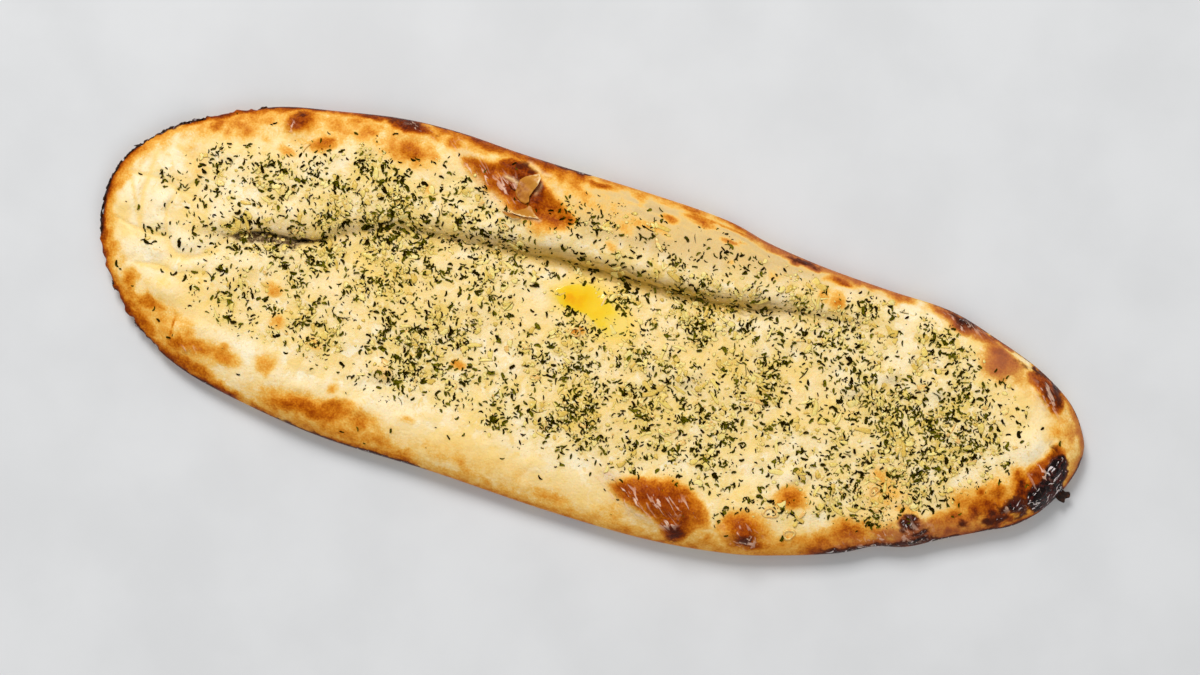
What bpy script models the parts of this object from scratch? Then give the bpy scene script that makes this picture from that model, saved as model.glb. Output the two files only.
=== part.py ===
"""A cheese garlic naan, as baked and served: one long flat bread with a rounded rim, a lengthwise
fold whose upper lip stands over a crease, blisters along the edges, and herb flakes and minced
garlic stuck to the top.

Sizes below are in millimetres and the finished mesh is in metres, +Z up. +X runs along the bread
and the origin is under its middle, on the surface that it lies on.
"""

import math
import random

import bmesh
import bpy
import numpy as np
from mathutils import Matrix, Vector

METRES_PER_MM = 0.001

# Outline of the bread seen from above, going round from its right tip over the upper side
OUTLINE = [
    (240, 13), (236.5, 24), (227, 36), (209, 47), (186, 55.5), (161, 62.5), (130, 64), (98, 66.2),
    (70, 70), (47, 75.2), (10, 77.5), (-50, 79), (-86, 81), (-114, 80), (-142, 75.5), (-172, 69.5),
    (-199, 57.5), (-219, 45.5), (-235, 28), (-240, 8), (-236, -14), (-226, -31.5), (-208, -49),
    (-185, -62), (-155, -69.5), (-110, -76), (-55, -77.5), (0, -80.5), (50, -81), (90, -77),
    (115, -71), (141, -62.5), (156, -55), (171, -51), (187, -42.5), (204, -34), (217, -27.5),
    (228, -17), (236.5, -2),
]
CURVE_STEPS = 12

# Thicknesses
RIM_HEIGHT = 6.0
FLAT_HEIGHT = 17.0
LEFT_END_HEIGHT = 13.0
LEFT_END_FROM = -140.0
LEFT_END_TO = -215.0
RIM_ROUNDING = 25.0
UNDERSIDE_ROUNDING = 12.0

# The underside is a little uneven: its middle and one low place towards each corner touch the surface
# that the bread lies on. The middle is x, y, half length, half width and turn
UNDERSIDE_LIFT = 1.0
FLAT_MIDDLE = (0, 0, 40, 22, 0)
LOW_PLACES = [(-160, -46), (-165, 48), (150, 40), (150, -42)]
LOW_PLACE_REACH = 14.0

# The fold: the line of its crease, and how its lip and the dough below it rise from that line
CREASE = [
    (-190, 2), (-180, 4), (-160, 11), (-134, 14.5), (-125, 20), (-103, 29), (-78, 30.5), (-58, 33),
    (-24, 35), (20, 34.5), (50, 35), (69, 37.5), (87, 41), (109, 43.5), (150, 46),
]
VALLEY_HEIGHT = 13.5
LIP_RISE = 10.0
LIP_WIDTH = 11.0
LIP_STEEPNESS = 3.0
LIP_FALL = 0.09
PILLOW_RISE = 4.5
PILLOW_WIDTH = 15.0

# How far the fold stands up along the bread: x, and a share of the rises above
FOLD_STRENGTH = [
    (-200, 0), (-175, 0.35), (-150, 0.5), (-110, 0.38), (-60, 0.65), (-30, 0.95), (40, 0.95), (70, 0.75),
    (85, 0.5), (105, 0.28), (130, 0.1), (155, 0.03), (180, 0),
]

# Where the fold gapes open at its left end
SLIT_CENTRE = (-151.0, 11.6, 16.5)
SLIT_SIZE = (44.0, 5.0, 12.0)
SLIT_TURN = 11.0
SLIT_SEGMENTS = 12
SLIT_RINGS = 8

# Wrinkles of the left end: points, depth, half width
WRINKLES = [
    ([(-219, -4), (-206, -4), (-200, -12), (-188, -9), (-178, 2)], 0.8, 3.0),
    ([(-213, -20), (-201, -19), (-194, -21), (-183, -16)], 0.7, 3.0),
    ([(-221, 33), (-222, 13), (-219, -4)], 0.7, 3.0),
]

# Blisters and lumps: x, y, half length, half width, turn in degrees, height
BLISTERS = [
    (56, -64, 27, 12, -15, 4.0), (94, -65, 10, 8, 0, 3.0), (215, 38, 12, 7, -30, 2.4),
    (225, -3, 16, 9, 80, 2.6), (190, 46, 10, 9, 0, 1.2), (-160, 63, 9, 7, 0, 2.2),
    (-109, 74, 9, 5, 0, 2.0), (-90, -38, 7, 6, 20, 2.2), (49, 0, 9, 7, 30, 2.0),
    (124, 14, 6, 5, 0, 1.6), (140, 26, 7, 5, 40, 1.6), (212, 11, 12, 9, 20, 1.6),
    (110, -32, 7, 5, 10, 1.6), (-120, -68, 20, 8, -8, 1.6), (-186, -50, 17, 9, -25, 1.8),
    (-40, 62, 9, 6, 60, 1.2), (165, -42, 22, 9, 25, 1.6), (-229, 10, 7, 9, 0, 0.8),
    (-212, 8, 6, 8, 0, 0.7), (-210, -12, 8, 5, -10, 0.7), (-199, -28, 12, 6, -15, 0.8),
]
BLISTER_REACH = 1.15

# The burst blister on the fold: a shallow torn pit with a raised edge
BURST = (-51, 60, 33, 10, -17)
BURST_DEPTH = 1.8
BURST_EDGE = 1.2
BURST_EDGE_WIDTH = 0.3

# Long slow unevenness of hand-stretched dough
UNEVENNESS = 0.7

# How finely the bread is divided
RINGS = 54
AROUND = 51
TOP_SHARE = 2 / 3
EVENNESS_ACROSS = 0.5
EVENNESS_ALONG = 0.7

# How far to either side the slope of the surface is read, where a piece is laid on it
SLOPE_STEP = 1.5

# What is sprinkled on top
SEED = 7
HERB_COUNT = 100
GARLIC_COUNT = 72
TOPPING_GAP = 10.0
HERB_LENGTH = (3.6, 6.0)
HERB_WIDTH_SHARE = (0.5, 0.8)
HERB_THICKNESS = 0.9
HERB_SIDES = 6
HERB_WAVE = 0.25
HERB_TILT = 8.0
HERB_LIFT = 0.1
GARLIC_LENGTH = (3.4, 5.6)
GARLIC_WIDTH_SHARE = (0.45, 0.75)
GARLIC_HEIGHT_SHARE = (0.4, 0.55)
GARLIC_UNEVENNESS = (0.85, 1.12)
GARLIC_TILT = 15.0
GARLIC_LIFT = 0.3
SPRINKLED_X = (-206.0, 226.0)
BARE_LOWER_RIM = 25.0
BARE_UPPER_RIM = 13.0
BARE_ROLL_EXTRA = 12.0
BARE_ROLL = (-70.0, 110.0)

# How uneven the edge of a flake is: how far its corners shift round it, and how far out they are
FLAKE_CORNER_SHIFT = 0.25
FLAKE_REACH = (0.75, 1.0)

# The curl of crust in the burst blister and the leaf scorched to the right tip: x, y, length
CRUST_CURL = (-47.0, 61.0, 12.0)
CRUST_CURL_WAVE = 0.8
CRUST_CURL_TILT = 30.0
SCORCHED_LEAF = (235.0, -7.0, 7.0)
SCORCHED_LEAF_WAVE = 0.3
CRUST_BIT_THICKNESS = 1.0
CRUST_BIT_WIDTH_SHARE = 0.6
CRUST_BIT_SIDES = 8

# Colour and shading
DOUGH_COLOUR = (0.86, 0.62, 0.30, 1)
DOUGH_ROUGHNESS = 0.5
SHARP_EDGE_ANGLE = 40.0


def remove_everything():
    for obj in list(bpy.data.objects):
        bpy.data.objects.remove(obj, do_unlink=True)


def new_collection(name):
    collection = bpy.data.collections.new(name)
    bpy.context.scene.collection.children.link(collection)
    return collection


def smooth_step(value):
    t = np.clip(value, 0, 1)
    return t * t * (3 - 2 * t)


def closed_curve(points, steps):
    """Points on a smooth closed curve through the given ones."""
    p = np.array(points, float)
    before, after, beyond = np.roll(p, 1, 0), np.roll(p, -1, 0), np.roll(p, -2, 0)
    curve = []
    for t in np.arange(steps) / steps:
        curve.append(0.5 * (2 * p + (after - before) * t
                            + (2 * before - 5 * p + 4 * after - beyond) * t ** 2
                            + (3 * p - before - 3 * after + beyond) * t ** 3))
    return np.stack(curve, 1).reshape(-1, 2)


def distance_to_line(x, y, line):
    """Distance of each point from a line of straight stretches."""
    nearest = np.full(x.shape, np.inf)
    for (ax, ay), (bx, by) in zip(line[:-1], line[1:]):
        dx, dy = bx - ax, by - ay
        along = np.clip(((x - ax) * dx + (y - ay) * dy) / (dx * dx + dy * dy), 0, 1)
        nearest = np.minimum(nearest, np.hypot(x - ax - along * dx, y - ay - along * dy))
    return nearest


EDGE = closed_curve(OUTLINE, CURVE_STEPS)
EDGE_LOOP = np.vstack([EDGE, EDGE[:1]])
RIGHT_TIP = int(EDGE[:, 0].argmax())
LEFT_TIP = int(EDGE[:, 0].argmin())
UPPER_EDGE = EDGE[RIGHT_TIP:LEFT_TIP + 1][::-1]
LOWER_EDGE = np.vstack([EDGE[LEFT_TIP:], EDGE[:RIGHT_TIP + 1]])


def edge_heights(x):
    """The lower and upper y of the outline at each x."""
    low = np.interp(x, LOWER_EDGE[:, 0], LOWER_EDGE[:, 1])
    high = np.interp(x, UPPER_EDGE[:, 0], UPPER_EDGE[:, 1])
    return low, high


def along_line(x, line):
    """The second value of a line of pairs at each x."""
    pairs = np.array(line, float)
    return np.interp(x, pairs[:, 0], pairs[:, 1])


def lip_height(across):
    """The folded lip: steep at its crease, rounding over to a crest, then falling slowly."""
    share = np.clip(across / LIP_WIDTH, 0, 1)
    rounded = LIP_RISE * (1 - (1 - share) ** LIP_STEEPNESS)
    return rounded - LIP_FALL * np.maximum(across - LIP_WIDTH, 0)


def plateau(x, y):
    """Height of the dough away from the rim: flat, and folded along the crease."""
    across = y - along_line(x, CREASE)
    pillow = PILLOW_RISE * (1 - np.exp(np.minimum(across, 0) / PILLOW_WIDTH))
    folded = VALLEY_HEIGHT + lip_height(across) + pillow
    left = smooth_step((x - LEFT_END_FROM) / (LEFT_END_TO - LEFT_END_FROM))
    flat = FLAT_HEIGHT + (LEFT_END_HEIGHT - FLAT_HEIGHT) * left
    return flat + (folded - flat) * along_line(x, FOLD_STRENGTH)


def radius_in_mound(x, y, mound):
    """Distance from an ellipse's middle, as a share of its size."""
    turn = math.radians(mound[4])
    dx, dy = x - mound[0], y - mound[1]
    along = dx * math.cos(turn) + dy * math.sin(turn)
    across = dy * math.cos(turn) - dx * math.sin(turn)
    return np.hypot(along / mound[2], across / mound[3])


def relief(x, y):
    """Lumps, wrinkles and the burst blister, as heights above the plateau."""
    height = UNEVENNESS * (np.sin(x / 31 + 1.3) * np.cos(y / 23 + 0.4) + 0.6 * np.sin(x / 17 - y / 19))
    for blister in BLISTERS:
        height += blister[5] * smooth_step(BLISTER_REACH - radius_in_mound(x, y, blister))
    for line, depth, width in WRINKLES:
        height -= depth * np.exp(-(distance_to_line(x, y, line) / width) ** 2)
    radius = radius_in_mound(x, y, BURST)
    height -= BURST_DEPTH * smooth_step((1 - radius) * 2)
    height += BURST_EDGE * np.exp(-((radius - 1) / BURST_EDGE_WIDTH) ** 2)
    return height


def rounding(depth, radius):
    """0 at the rim and 1 from radius inwards, as a quarter of an ellipse."""
    inward = np.clip(depth / radius, 0, 1)
    return np.sqrt(np.clip(1 - (1 - inward) ** 2, 0, 1))


def top_height(x, y):
    depth = distance_to_line(x, y, EDGE_LOOP)
    return RIM_HEIGHT + (plateau(x, y) + relief(x, y) - RIM_HEIGHT) * rounding(depth, RIM_ROUNDING)


def underside_height(x, y):
    depth = distance_to_line(x, y, EDGE_LOOP)
    lift = UNDERSIDE_LIFT * smooth_step(radius_in_mound(x, y, FLAT_MIDDLE) - 1)
    for low_x, low_y in LOW_PLACES:
        lift *= 1 - np.exp(-((x - low_x) ** 2 + (y - low_y) ** 2) / LOW_PLACE_REACH ** 2)
    return lift + (RIM_HEIGHT - lift) * (1 - rounding(depth, UNDERSIDE_ROUNDING))


def set_down(points, on_top):
    """The point of the underside that is nearest to each low place touches the surface."""
    under = np.flatnonzero(~on_top)
    for low_x, low_y in LOW_PLACES:
        away = np.hypot(points[under, 0] - low_x, points[under, 1] - low_y)
        points[under[away.argmin()], 2] = 0


def spread(share, evenness):
    """From 1 to -1 as share goes from 0 to 1, closer together towards both ends."""
    return (1 - evenness) * np.cos(np.pi * share) + evenness * (1 - 2 * share)


def bread_points(sphere_points):
    """Where each point of a unit sphere with its poles on the X axis lies on the bread."""
    along = np.arccos(np.clip(sphere_points[:, 0], -1, 1)) / np.pi
    turn = np.arctan2(sphere_points[:, 2], sphere_points[:, 1]) / (2 * np.pi) % 1
    turn = np.where(turn > 1 - 1e-5, 0, turn)
    on_top = turn <= TOP_SHARE + 1e-5
    share = np.where(on_top, turn / TOP_SHARE, (1 - turn) / (1 - TOP_SHARE))
    middle = (EDGE[RIGHT_TIP, 0] + EDGE[LEFT_TIP, 0]) / 2
    half_length = (EDGE[RIGHT_TIP, 0] - EDGE[LEFT_TIP, 0]) / 2
    x = middle + half_length * spread(along, EVENNESS_ALONG)
    low, high = edge_heights(x)
    y = (low + high) / 2 + (high - low) / 2 * spread(share, EVENNESS_ACROSS)
    z = np.where(on_top, top_height(x, y), underside_height(x, y))
    points = np.stack([x, y, z], 1)
    set_down(points, on_top)
    return points


def mesh_object(name, bm, collection):
    mesh = bpy.data.meshes.new(name)
    bm.to_mesh(mesh)
    bm.free()
    obj = bpy.data.objects.new(name, mesh)
    collection.objects.link(obj)
    return obj


def make_bread(collection):
    bm = bmesh.new()
    bmesh.ops.create_uvsphere(bm, u_segments=AROUND, v_segments=RINGS, radius=1)
    bmesh.ops.rotate(bm, verts=bm.verts, matrix=Matrix.Rotation(math.radians(90), 3, "Y"))
    places = bread_points(np.array([v.co for v in bm.verts]))
    for vert, place in zip(bm.verts, places):
        vert.co = Vector(place) * METRES_PER_MM
    bmesh.ops.triangulate(bm, faces=bm.faces)
    bmesh.ops.recalc_face_normals(bm, faces=bm.faces)
    return mesh_object("naan", bm, collection)


def make_slit_cutter(collection):
    """A flat lens that opens the crease where the fold gapes."""
    bm = bmesh.new()
    bmesh.ops.create_uvsphere(bm, u_segments=SLIT_SEGMENTS, v_segments=SLIT_RINGS, radius=0.5)
    bmesh.ops.rotate(bm, verts=bm.verts, matrix=Matrix.Rotation(math.radians(90), 3, "Y"))
    bmesh.ops.scale(bm, verts=bm.verts, vec=Vector(SLIT_SIZE) * METRES_PER_MM)
    cutter = mesh_object("slit_cutter", bm, collection)
    cutter.location = Vector(SLIT_CENTRE) * METRES_PER_MM
    cutter.rotation_euler.z = math.radians(SLIT_TURN)
    cutter.hide_render = True
    cutter.display_type = "WIRE"
    return cutter


def surface_frame(x, y):
    """A point on top of the bread, in metres, and the turn that lays a piece flat on it."""
    px = np.array([x, x + SLOPE_STEP, x])
    py = np.array([y, y, y + SLOPE_STEP])
    here, ahead, aside = top_height(px, py)
    normal = Vector((here - ahead, here - aside, SLOPE_STEP)).normalized()
    place = Vector((x, y, here)) * METRES_PER_MM
    return place, Vector((0, 0, 1)).rotation_difference(normal).to_matrix()


def is_sprinkled(x, y):
    """The ends and the bands along the rim are bare."""
    if not SPRINKLED_X[0] < x < SPRINKLED_X[1]:
        return False
    low, high = edge_heights(np.array([float(x)]))
    bare_above = BARE_UPPER_RIM + (BARE_ROLL_EXTRA if BARE_ROLL[0] < x < BARE_ROLL[1] else 0)
    return low[0] + BARE_LOWER_RIM < y < high[0] - bare_above


def topping_places(rng, count):
    """Scattered places, none nearer to another than the gap."""
    places = []
    while len(places) < count:
        x = rng.uniform(*SPRINKLED_X)
        y = rng.uniform(EDGE[:, 1].min(), EDGE[:, 1].max())
        near = any(math.hypot(x - px, y - py) < TOPPING_GAP for px, py in places)
        if is_sprinkled(x, y) and not near:
            places.append((x, y))
    return places


def flake_bmesh(rng, length, width, thickness, wave, sides):
    """A thin wavy leaf flake with an uneven edge, both faces split alike."""
    start = rng.uniform(0, math.tau)
    outline = [Vector((0, 0, 0))]
    for corner in range(sides):
        angle = math.tau * (corner + rng.uniform(-FLAKE_CORNER_SHIFT, FLAKE_CORNER_SHIFT)) / sides
        reach = rng.uniform(*FLAKE_REACH) / 2
        bend = wave * math.sin(angle * 2 + start)
        outline.append(Vector((length * reach * math.cos(angle), width * reach * math.sin(angle), bend)))
    half = Vector((0, 0, thickness / 2))
    bm = bmesh.new()
    top = [bm.verts.new((point + half) * METRES_PER_MM) for point in outline]
    bottom = [bm.verts.new((point - half) * METRES_PER_MM) for point in outline]
    for i in range(1, sides + 1):
        j = i % sides + 1
        bm.faces.new((top[0], top[i], top[j]))
        bm.faces.new((bottom[0], bottom[j], bottom[i]))
        bm.faces.new((top[i], bottom[i], bottom[j]))
        bm.faces.new((top[i], bottom[j], top[j]))
    return bm


def garlic_bmesh(rng, length):
    """An uneven chopped chip of garlic."""
    bm = bmesh.new()
    bmesh.ops.create_icosphere(bm, subdivisions=1, radius=0.5)
    width = length * rng.uniform(*GARLIC_WIDTH_SHARE)
    size = Vector((length, width, length * rng.uniform(*GARLIC_HEIGHT_SHARE)))
    for vert in bm.verts:
        vert.co = vert.co * size * rng.uniform(*GARLIC_UNEVENNESS) * METRES_PER_MM
    return bm


def lay_on_bread(obj, rng, x, y, tilt, lift):
    place, flat = surface_frame(x, y)
    spin = Matrix.Rotation(rng.uniform(0, math.tau), 3, "Z")
    lean = Matrix.Rotation(math.radians(rng.uniform(-tilt, tilt)), 3, "X")
    matrix = (flat @ spin @ lean).to_4x4()
    matrix.translation = place + flat @ Vector((0, 0, lift * METRES_PER_MM))
    obj.matrix_world = matrix


def make_herb_flake(rng, collection, x, y):
    length = rng.uniform(*HERB_LENGTH)
    width = length * rng.uniform(*HERB_WIDTH_SHARE)
    bm = flake_bmesh(rng, length, width, HERB_THICKNESS, HERB_WAVE, HERB_SIDES)
    lay_on_bread(mesh_object("herb_flake", bm, collection), rng, x, y, HERB_TILT, HERB_LIFT)


def make_garlic_chip(rng, collection, x, y):
    bm = garlic_bmesh(rng, rng.uniform(*GARLIC_LENGTH))
    lay_on_bread(mesh_object("garlic_chip", bm, collection), rng, x, y, GARLIC_TILT, GARLIC_LIFT)


def make_toppings(collection):
    rng = random.Random(SEED)
    places = topping_places(rng, HERB_COUNT + GARLIC_COUNT)
    for x, y in places[:HERB_COUNT]:
        make_herb_flake(rng, collection, x, y)
    for x, y in places[HERB_COUNT:]:
        make_garlic_chip(rng, collection, x, y)


def crust_bit_bmesh(rng, length, wave):
    width = length * CRUST_BIT_WIDTH_SHARE
    return flake_bmesh(rng, length, width, CRUST_BIT_THICKNESS, wave, CRUST_BIT_SIDES)


def make_crust_bits(collection):
    """The curl of crust that stands in the burst blister, and the leaf scorched to the right tip."""
    rng = random.Random(SEED)
    x, y, length = CRUST_CURL
    curl = mesh_object("crust_curl", crust_bit_bmesh(rng, length, CRUST_CURL_WAVE), collection)
    lay_on_bread(curl, rng, x, y, CRUST_CURL_TILT, CRUST_BIT_THICKNESS)
    x, y, length = SCORCHED_LEAF
    leaf = mesh_object("scorched_leaf", crust_bit_bmesh(rng, length, SCORCHED_LEAF_WAVE), collection)
    leaf.matrix_world = Matrix.Translation(Vector((x, y, RIM_HEIGHT)) * METRES_PER_MM)


def apply_boolean(obj, operation, solver, operand=None, operands=None):
    modifier = obj.modifiers.new("boolean", "BOOLEAN")
    modifier.operation = operation
    modifier.solver = solver
    if operands:
        modifier.operand_type = "COLLECTION"
        modifier.collection = operands
    else:
        modifier.object = operand
    bpy.context.view_layer.update()
    evaluated = obj.evaluated_get(bpy.context.evaluated_depsgraph_get())
    mesh = bpy.data.meshes.new_from_object(evaluated)
    obj.modifiers.clear()
    obj.data = mesh


def drop_loose_scraps(obj):
    """Keeps the largest connected piece."""
    bm = bmesh.new()
    bm.from_mesh(obj.data)
    unseen = set(bm.verts)
    pieces = []
    while unseen:
        stack = [unseen.pop()]
        piece = set(stack)
        while stack:
            for edge in stack.pop().link_edges:
                fresh = set(edge.verts) & unseen
                unseen -= fresh
                piece |= fresh
                stack.extend(fresh)
        pieces.append(piece)
    pieces.sort(key=len)
    for piece in pieces[:-1]:
        bmesh.ops.delete(bm, geom=list(piece), context="VERTS")
    bm.to_mesh(obj.data)
    bm.free()


def give_material(obj, name, colour, roughness):
    material = bpy.data.materials.new(name)
    material.use_nodes = True
    shader = material.node_tree.nodes["Principled BSDF"]
    shader.inputs["Base Color"].default_value = colour
    shader.inputs["Roughness"].default_value = roughness
    shader.inputs["Metallic"].default_value = 0
    obj.data.materials.clear()
    obj.data.materials.append(material)


def build():
    remove_everything()
    naan_collection = new_collection("cheese_garlic_naan")
    cutters = new_collection("cutters")
    toppings = new_collection("toppings")
    bread = make_bread(naan_collection)
    apply_boolean(bread, "DIFFERENCE", "EXACT", operand=make_slit_cutter(cutters))
    make_toppings(toppings)
    make_crust_bits(toppings)
    apply_boolean(bread, "UNION", "MANIFOLD", operands=toppings)
    for obj in list(toppings.objects):
        bpy.data.objects.remove(obj, do_unlink=True)
    bpy.data.collections.remove(toppings)
    drop_loose_scraps(bread)
    give_material(bread, "baked dough", DOUGH_COLOUR, DOUGH_ROUGHNESS)
    bread.data.shade_smooth()
    bread.data.set_sharp_from_angle(angle=math.radians(SHARP_EDGE_ANGLE))


build()
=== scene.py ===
"""The looks of a cheese garlic naan: the baked bread, the herbs, garlic and butter on it, and its
papery and scorched bits of crust.

Sizes are in millimetres until a mesh is made. +X runs along the bread towards its narrow end, +Y
towards the folded lip, and z is 0 on the surface that it lies on.
"""

import math

import bmesh
import bpy
import numpy as np
from mathutils import Matrix, Vector
from mathutils.bvhtree import BVHTree


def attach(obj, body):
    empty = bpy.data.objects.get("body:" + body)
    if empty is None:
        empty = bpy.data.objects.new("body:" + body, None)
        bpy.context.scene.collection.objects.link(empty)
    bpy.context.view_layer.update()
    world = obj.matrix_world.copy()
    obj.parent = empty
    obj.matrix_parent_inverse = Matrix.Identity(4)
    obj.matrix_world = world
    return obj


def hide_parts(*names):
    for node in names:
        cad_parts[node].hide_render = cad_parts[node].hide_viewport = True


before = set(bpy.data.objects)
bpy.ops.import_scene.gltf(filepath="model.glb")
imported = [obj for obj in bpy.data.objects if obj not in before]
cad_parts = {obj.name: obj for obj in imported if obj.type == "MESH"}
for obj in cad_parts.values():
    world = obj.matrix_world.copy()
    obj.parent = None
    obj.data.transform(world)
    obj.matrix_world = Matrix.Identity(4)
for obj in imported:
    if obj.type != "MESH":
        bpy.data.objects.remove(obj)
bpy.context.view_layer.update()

METRES_PER_MM = 0.001

# Outline of the bread seen from above, going round from its right tip over the upper side
OUTLINE = [
    (240, 13), (236.5, 24), (227, 36), (209, 47), (186, 55.5), (161, 62.5), (130, 64), (98, 66.2),
    (70, 70), (47, 75.2), (10, 77.5), (-50, 79), (-86, 81), (-114, 80), (-142, 75.5), (-172, 69.5),
    (-199, 57.5), (-219, 45.5), (-235, 28), (-240, 8), (-236, -14), (-226, -31.5), (-208, -49),
    (-185, -62), (-155, -69.5), (-110, -76), (-55, -77.5), (0, -80.5), (50, -81), (90, -77),
    (115, -71), (141, -62.5), (156, -55), (171, -51), (187, -42.5), (204, -34), (217, -27.5),
    (228, -17), (236.5, -2),
]
CURVE_STEPS = 12

# Thicknesses
RIM_HEIGHT = 6.0
FLAT_HEIGHT = 17.0
LEFT_END_HEIGHT = 13.0
LEFT_END_FROM = -140.0
LEFT_END_TO = -215.0
RIM_ROUNDING = 25.0
UNDERSIDE_ROUNDING = 12.0

# The underside is a little uneven: its middle and one low place towards each corner touch the surface
# that the bread lies on. The middle is x, y, half length, half width and turn
UNDERSIDE_LIFT = 1.0
FLAT_MIDDLE = (0, 0, 40, 22, 0)
LOW_PLACES = [(-160, -46), (-165, 48), (150, 40), (150, -42)]
LOW_PLACE_REACH = 14.0

# The fold: the line of its crease, and how its lip and the dough below it rise from that line
CREASE = [
    (-190, 2), (-180, 4), (-160, 11), (-134, 14.5), (-125, 20), (-103, 29), (-78, 30.5), (-58, 33),
    (-24, 35), (20, 34.5), (50, 35), (69, 37.5), (87, 41), (109, 43.5), (150, 46),
]
VALLEY_HEIGHT = 13.5
LIP_RISE = 10.0
LIP_WIDTH = 11.0
LIP_STEEPNESS = 3.0
LIP_FALL = 0.09
PILLOW_RISE = 4.5
PILLOW_WIDTH = 15.0

# How far the fold stands up along the bread: x, and a share of the rises above
FOLD_STRENGTH = [
    (-200, 0), (-175, 0.35), (-150, 0.5), (-110, 0.38), (-60, 0.65), (-30, 0.95), (40, 0.95), (70, 0.75),
    (85, 0.5), (105, 0.28), (130, 0.1), (155, 0.03), (180, 0),
]

# Where the fold gapes open at its left end: the line under its lip, and the torn crumb below
SLIT = [(-175, 5.5), (-171, 8), (-160, 11.5), (-154, 11), (-148, 11), (-141, 12), (-134, 14.8)]
SLIT_DEPTH = 4.0
SLIT_WIDTH = 1.2
SLIT_LIP = 2.0
SLIT_LIP_REACH = (1.5, 4.5)
SLIT_GAPE = [
    (-177, 0.1), (-171, 0.7), (-163, 0.6), (-155, 0.35), (-149, 0.6), (-145, 1.0), (-139, 0.9), (-133, 0.2),
]
CRUMB_OUTLINE = [
    (-175.5, 5.2), (-171.4, 8.6), (-160, 12), (-154, 11.2), (-149.5, 10.4), (-141, 12.2), (-134, 14.8),
    (-139, 11), (-144, 8), (-147, 6), (-152, 6), (-162, 4.6), (-173.6, 3.2),
]
CRUMB_DEPTH = 1.2
CRUMB_FADE = 1.8

# Wrinkles of the left end: points, depth, half width
WRINKLES = [
    ([(-219, -4), (-206, -4), (-200, -12), (-188, -9), (-178, 2)], 0.8, 3.0),
    ([(-213, -20), (-201, -19), (-194, -21), (-183, -16)], 0.7, 3.0),
    ([(-221, 33), (-222, 13), (-219, -4)], 0.7, 3.0),
]

# Blisters and lumps: x, y, half length, half width, turn in degrees, height
BLISTERS = [
    (56, -64, 27, 12, -15, 4.0), (94, -65, 10, 8, 0, 3.0), (215, 38, 12, 7, -30, 2.4),
    (225, -3, 16, 9, 80, 2.6), (190, 46, 10, 9, 0, 1.2), (-160, 63, 9, 7, 0, 2.2),
    (-109, 74, 9, 5, 0, 2.0), (-90, -38, 7, 6, 20, 2.2), (49, 0, 9, 7, 30, 2.0),
    (124, 14, 6, 5, 0, 1.6), (140, 26, 7, 5, 40, 1.6), (212, 11, 12, 9, 20, 1.6),
    (110, -32, 7, 5, 10, 1.6), (-120, -68, 20, 8, -8, 1.6), (-186, -50, 17, 9, -25, 1.8),
    (-40, 62, 9, 6, 60, 1.2), (165, -42, 22, 9, 25, 1.6), (-229, 10, 7, 9, 0, 0.8),
    (-212, 8, 6, 8, 0, 0.7), (-210, -12, 8, 5, -10, 0.7), (-199, -28, 12, 6, -15, 0.8),
]
BLISTER_REACH = 1.15

# Finer blisters in the same form, too small for the solid
SMALL_BLISTERS = [
    (62, -73, 5.5, 5, 0, 2.2), (216, 38, 7, 4, -40, 1.4), (228, 5, 6, 4, 80, 1.4),
    (224, -10, 6, 5, 50, 1.6), (171, -43, 8, 4, 30, 1.1), (94, -67, 6, 5, 0, 1.6),
    (-63, 64, 4.5, 4, 20, 1.3), (-74, 65, 6, 3, -35, 0.8), (-146, 58, 5, 3, 20, 0.8),
    (-105, 66, 7, 4, -10, 0.9), (208.5, -20.5, 3.5, 3, 20, 1.2), (-159, 65, 6, 5, 35, 1.0),
    (214.5, -19, 4, 3, 20, 1.4), (112, -44, 6, 5, 0, 0.9), (-7, 5, 4, 2.5, 0, 0.8),
    (-197, 54, 4, 3, 0, 0.7), (-212, 13, 6, 6, 0, 0.9), (-208, 2, 5, 4, 0, 0.7), (-226, 12, 4, 8, 0, 0.9),
    (-213, 46, 10, 4, 25, 0.9), (-223, 32, 6, 7, 0, 0.9), (-208, -11, 7, 4, 0, 0.8),
    (-221, -13, 5, 7, 0, 0.7), (-195, -3, 8, 4, 10, 0.6), (-200, 28, 9, 6, 0, 0.7),
    (-190, 41, 9, 5, 10, 0.5), (-202, -30, 9, 6, -10, 0.6), (-180, -42, 12, 5, -5, 0.8),
    (213, 11, 6, 7, 20, 1.0), (-125, -55, 8, 4, 0, 0.7), (90, 29, 8, 5, 0, 0.6), (165, 25, 9, 5, 20, 0.7),
    (192.5, -33, 4, 3, 0, 0.8), (203, -13, 5, 4, 0, 0.7), (-40, 22, 8, 5, 0, 0.6), (-25, 10, 9, 5, 0, 0.5),
]

# Fine folds of the left end, and the sharp line where the lip meets the dough: points, depth, half width
FINE_FOLDS = [
    ([(-231, 21), (-215, 21.5), (-205, 18.5), (-195, 17)], 0.5, 1.0),
    ([(-229, 18), (-223, 6), (-219, -4)], 0.5, 1.0),
    ([(-231, -2), (-219, -4.5), (-212, -5), (-205, -4), (-202, -9), (-195, -12.5), (-186, -8), (-180, -4)],
     0.55, 0.9),
    ([(-216, -20), (-206, -18), (-196, -19.5), (-186, -16)], 0.5, 0.9),
    ([(-212, 39), (-203, 34), (-199, 25), (-203, 18)], 0.45, 1.0),
    ([(-206, -3), (-209, 8), (-206, 19)], 0.4, 1.0), ([(-191, -39), (-191.5, -56)], 0.7, 0.9),
    ([(-178, -3), (-163, 1), (-148, 0)], 0.6, 1.4),
]
LIP_LINES = [(0.6, 0.7, 0.9), (3.4, 0.4, 0.8), (-2.4, 0.35, 0.8)]
# How strongly the painted shade along the seam shows along the bread: x and share
SEAM_SHADE_STRENGTH = [(-125, 0), (-105, 0.5), (-60, 0.4), (-20, 0.6), (10, 1), (80, 1), (100, 0.5), (125, 0)]
SEAM_SCALE = 10.0

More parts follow.
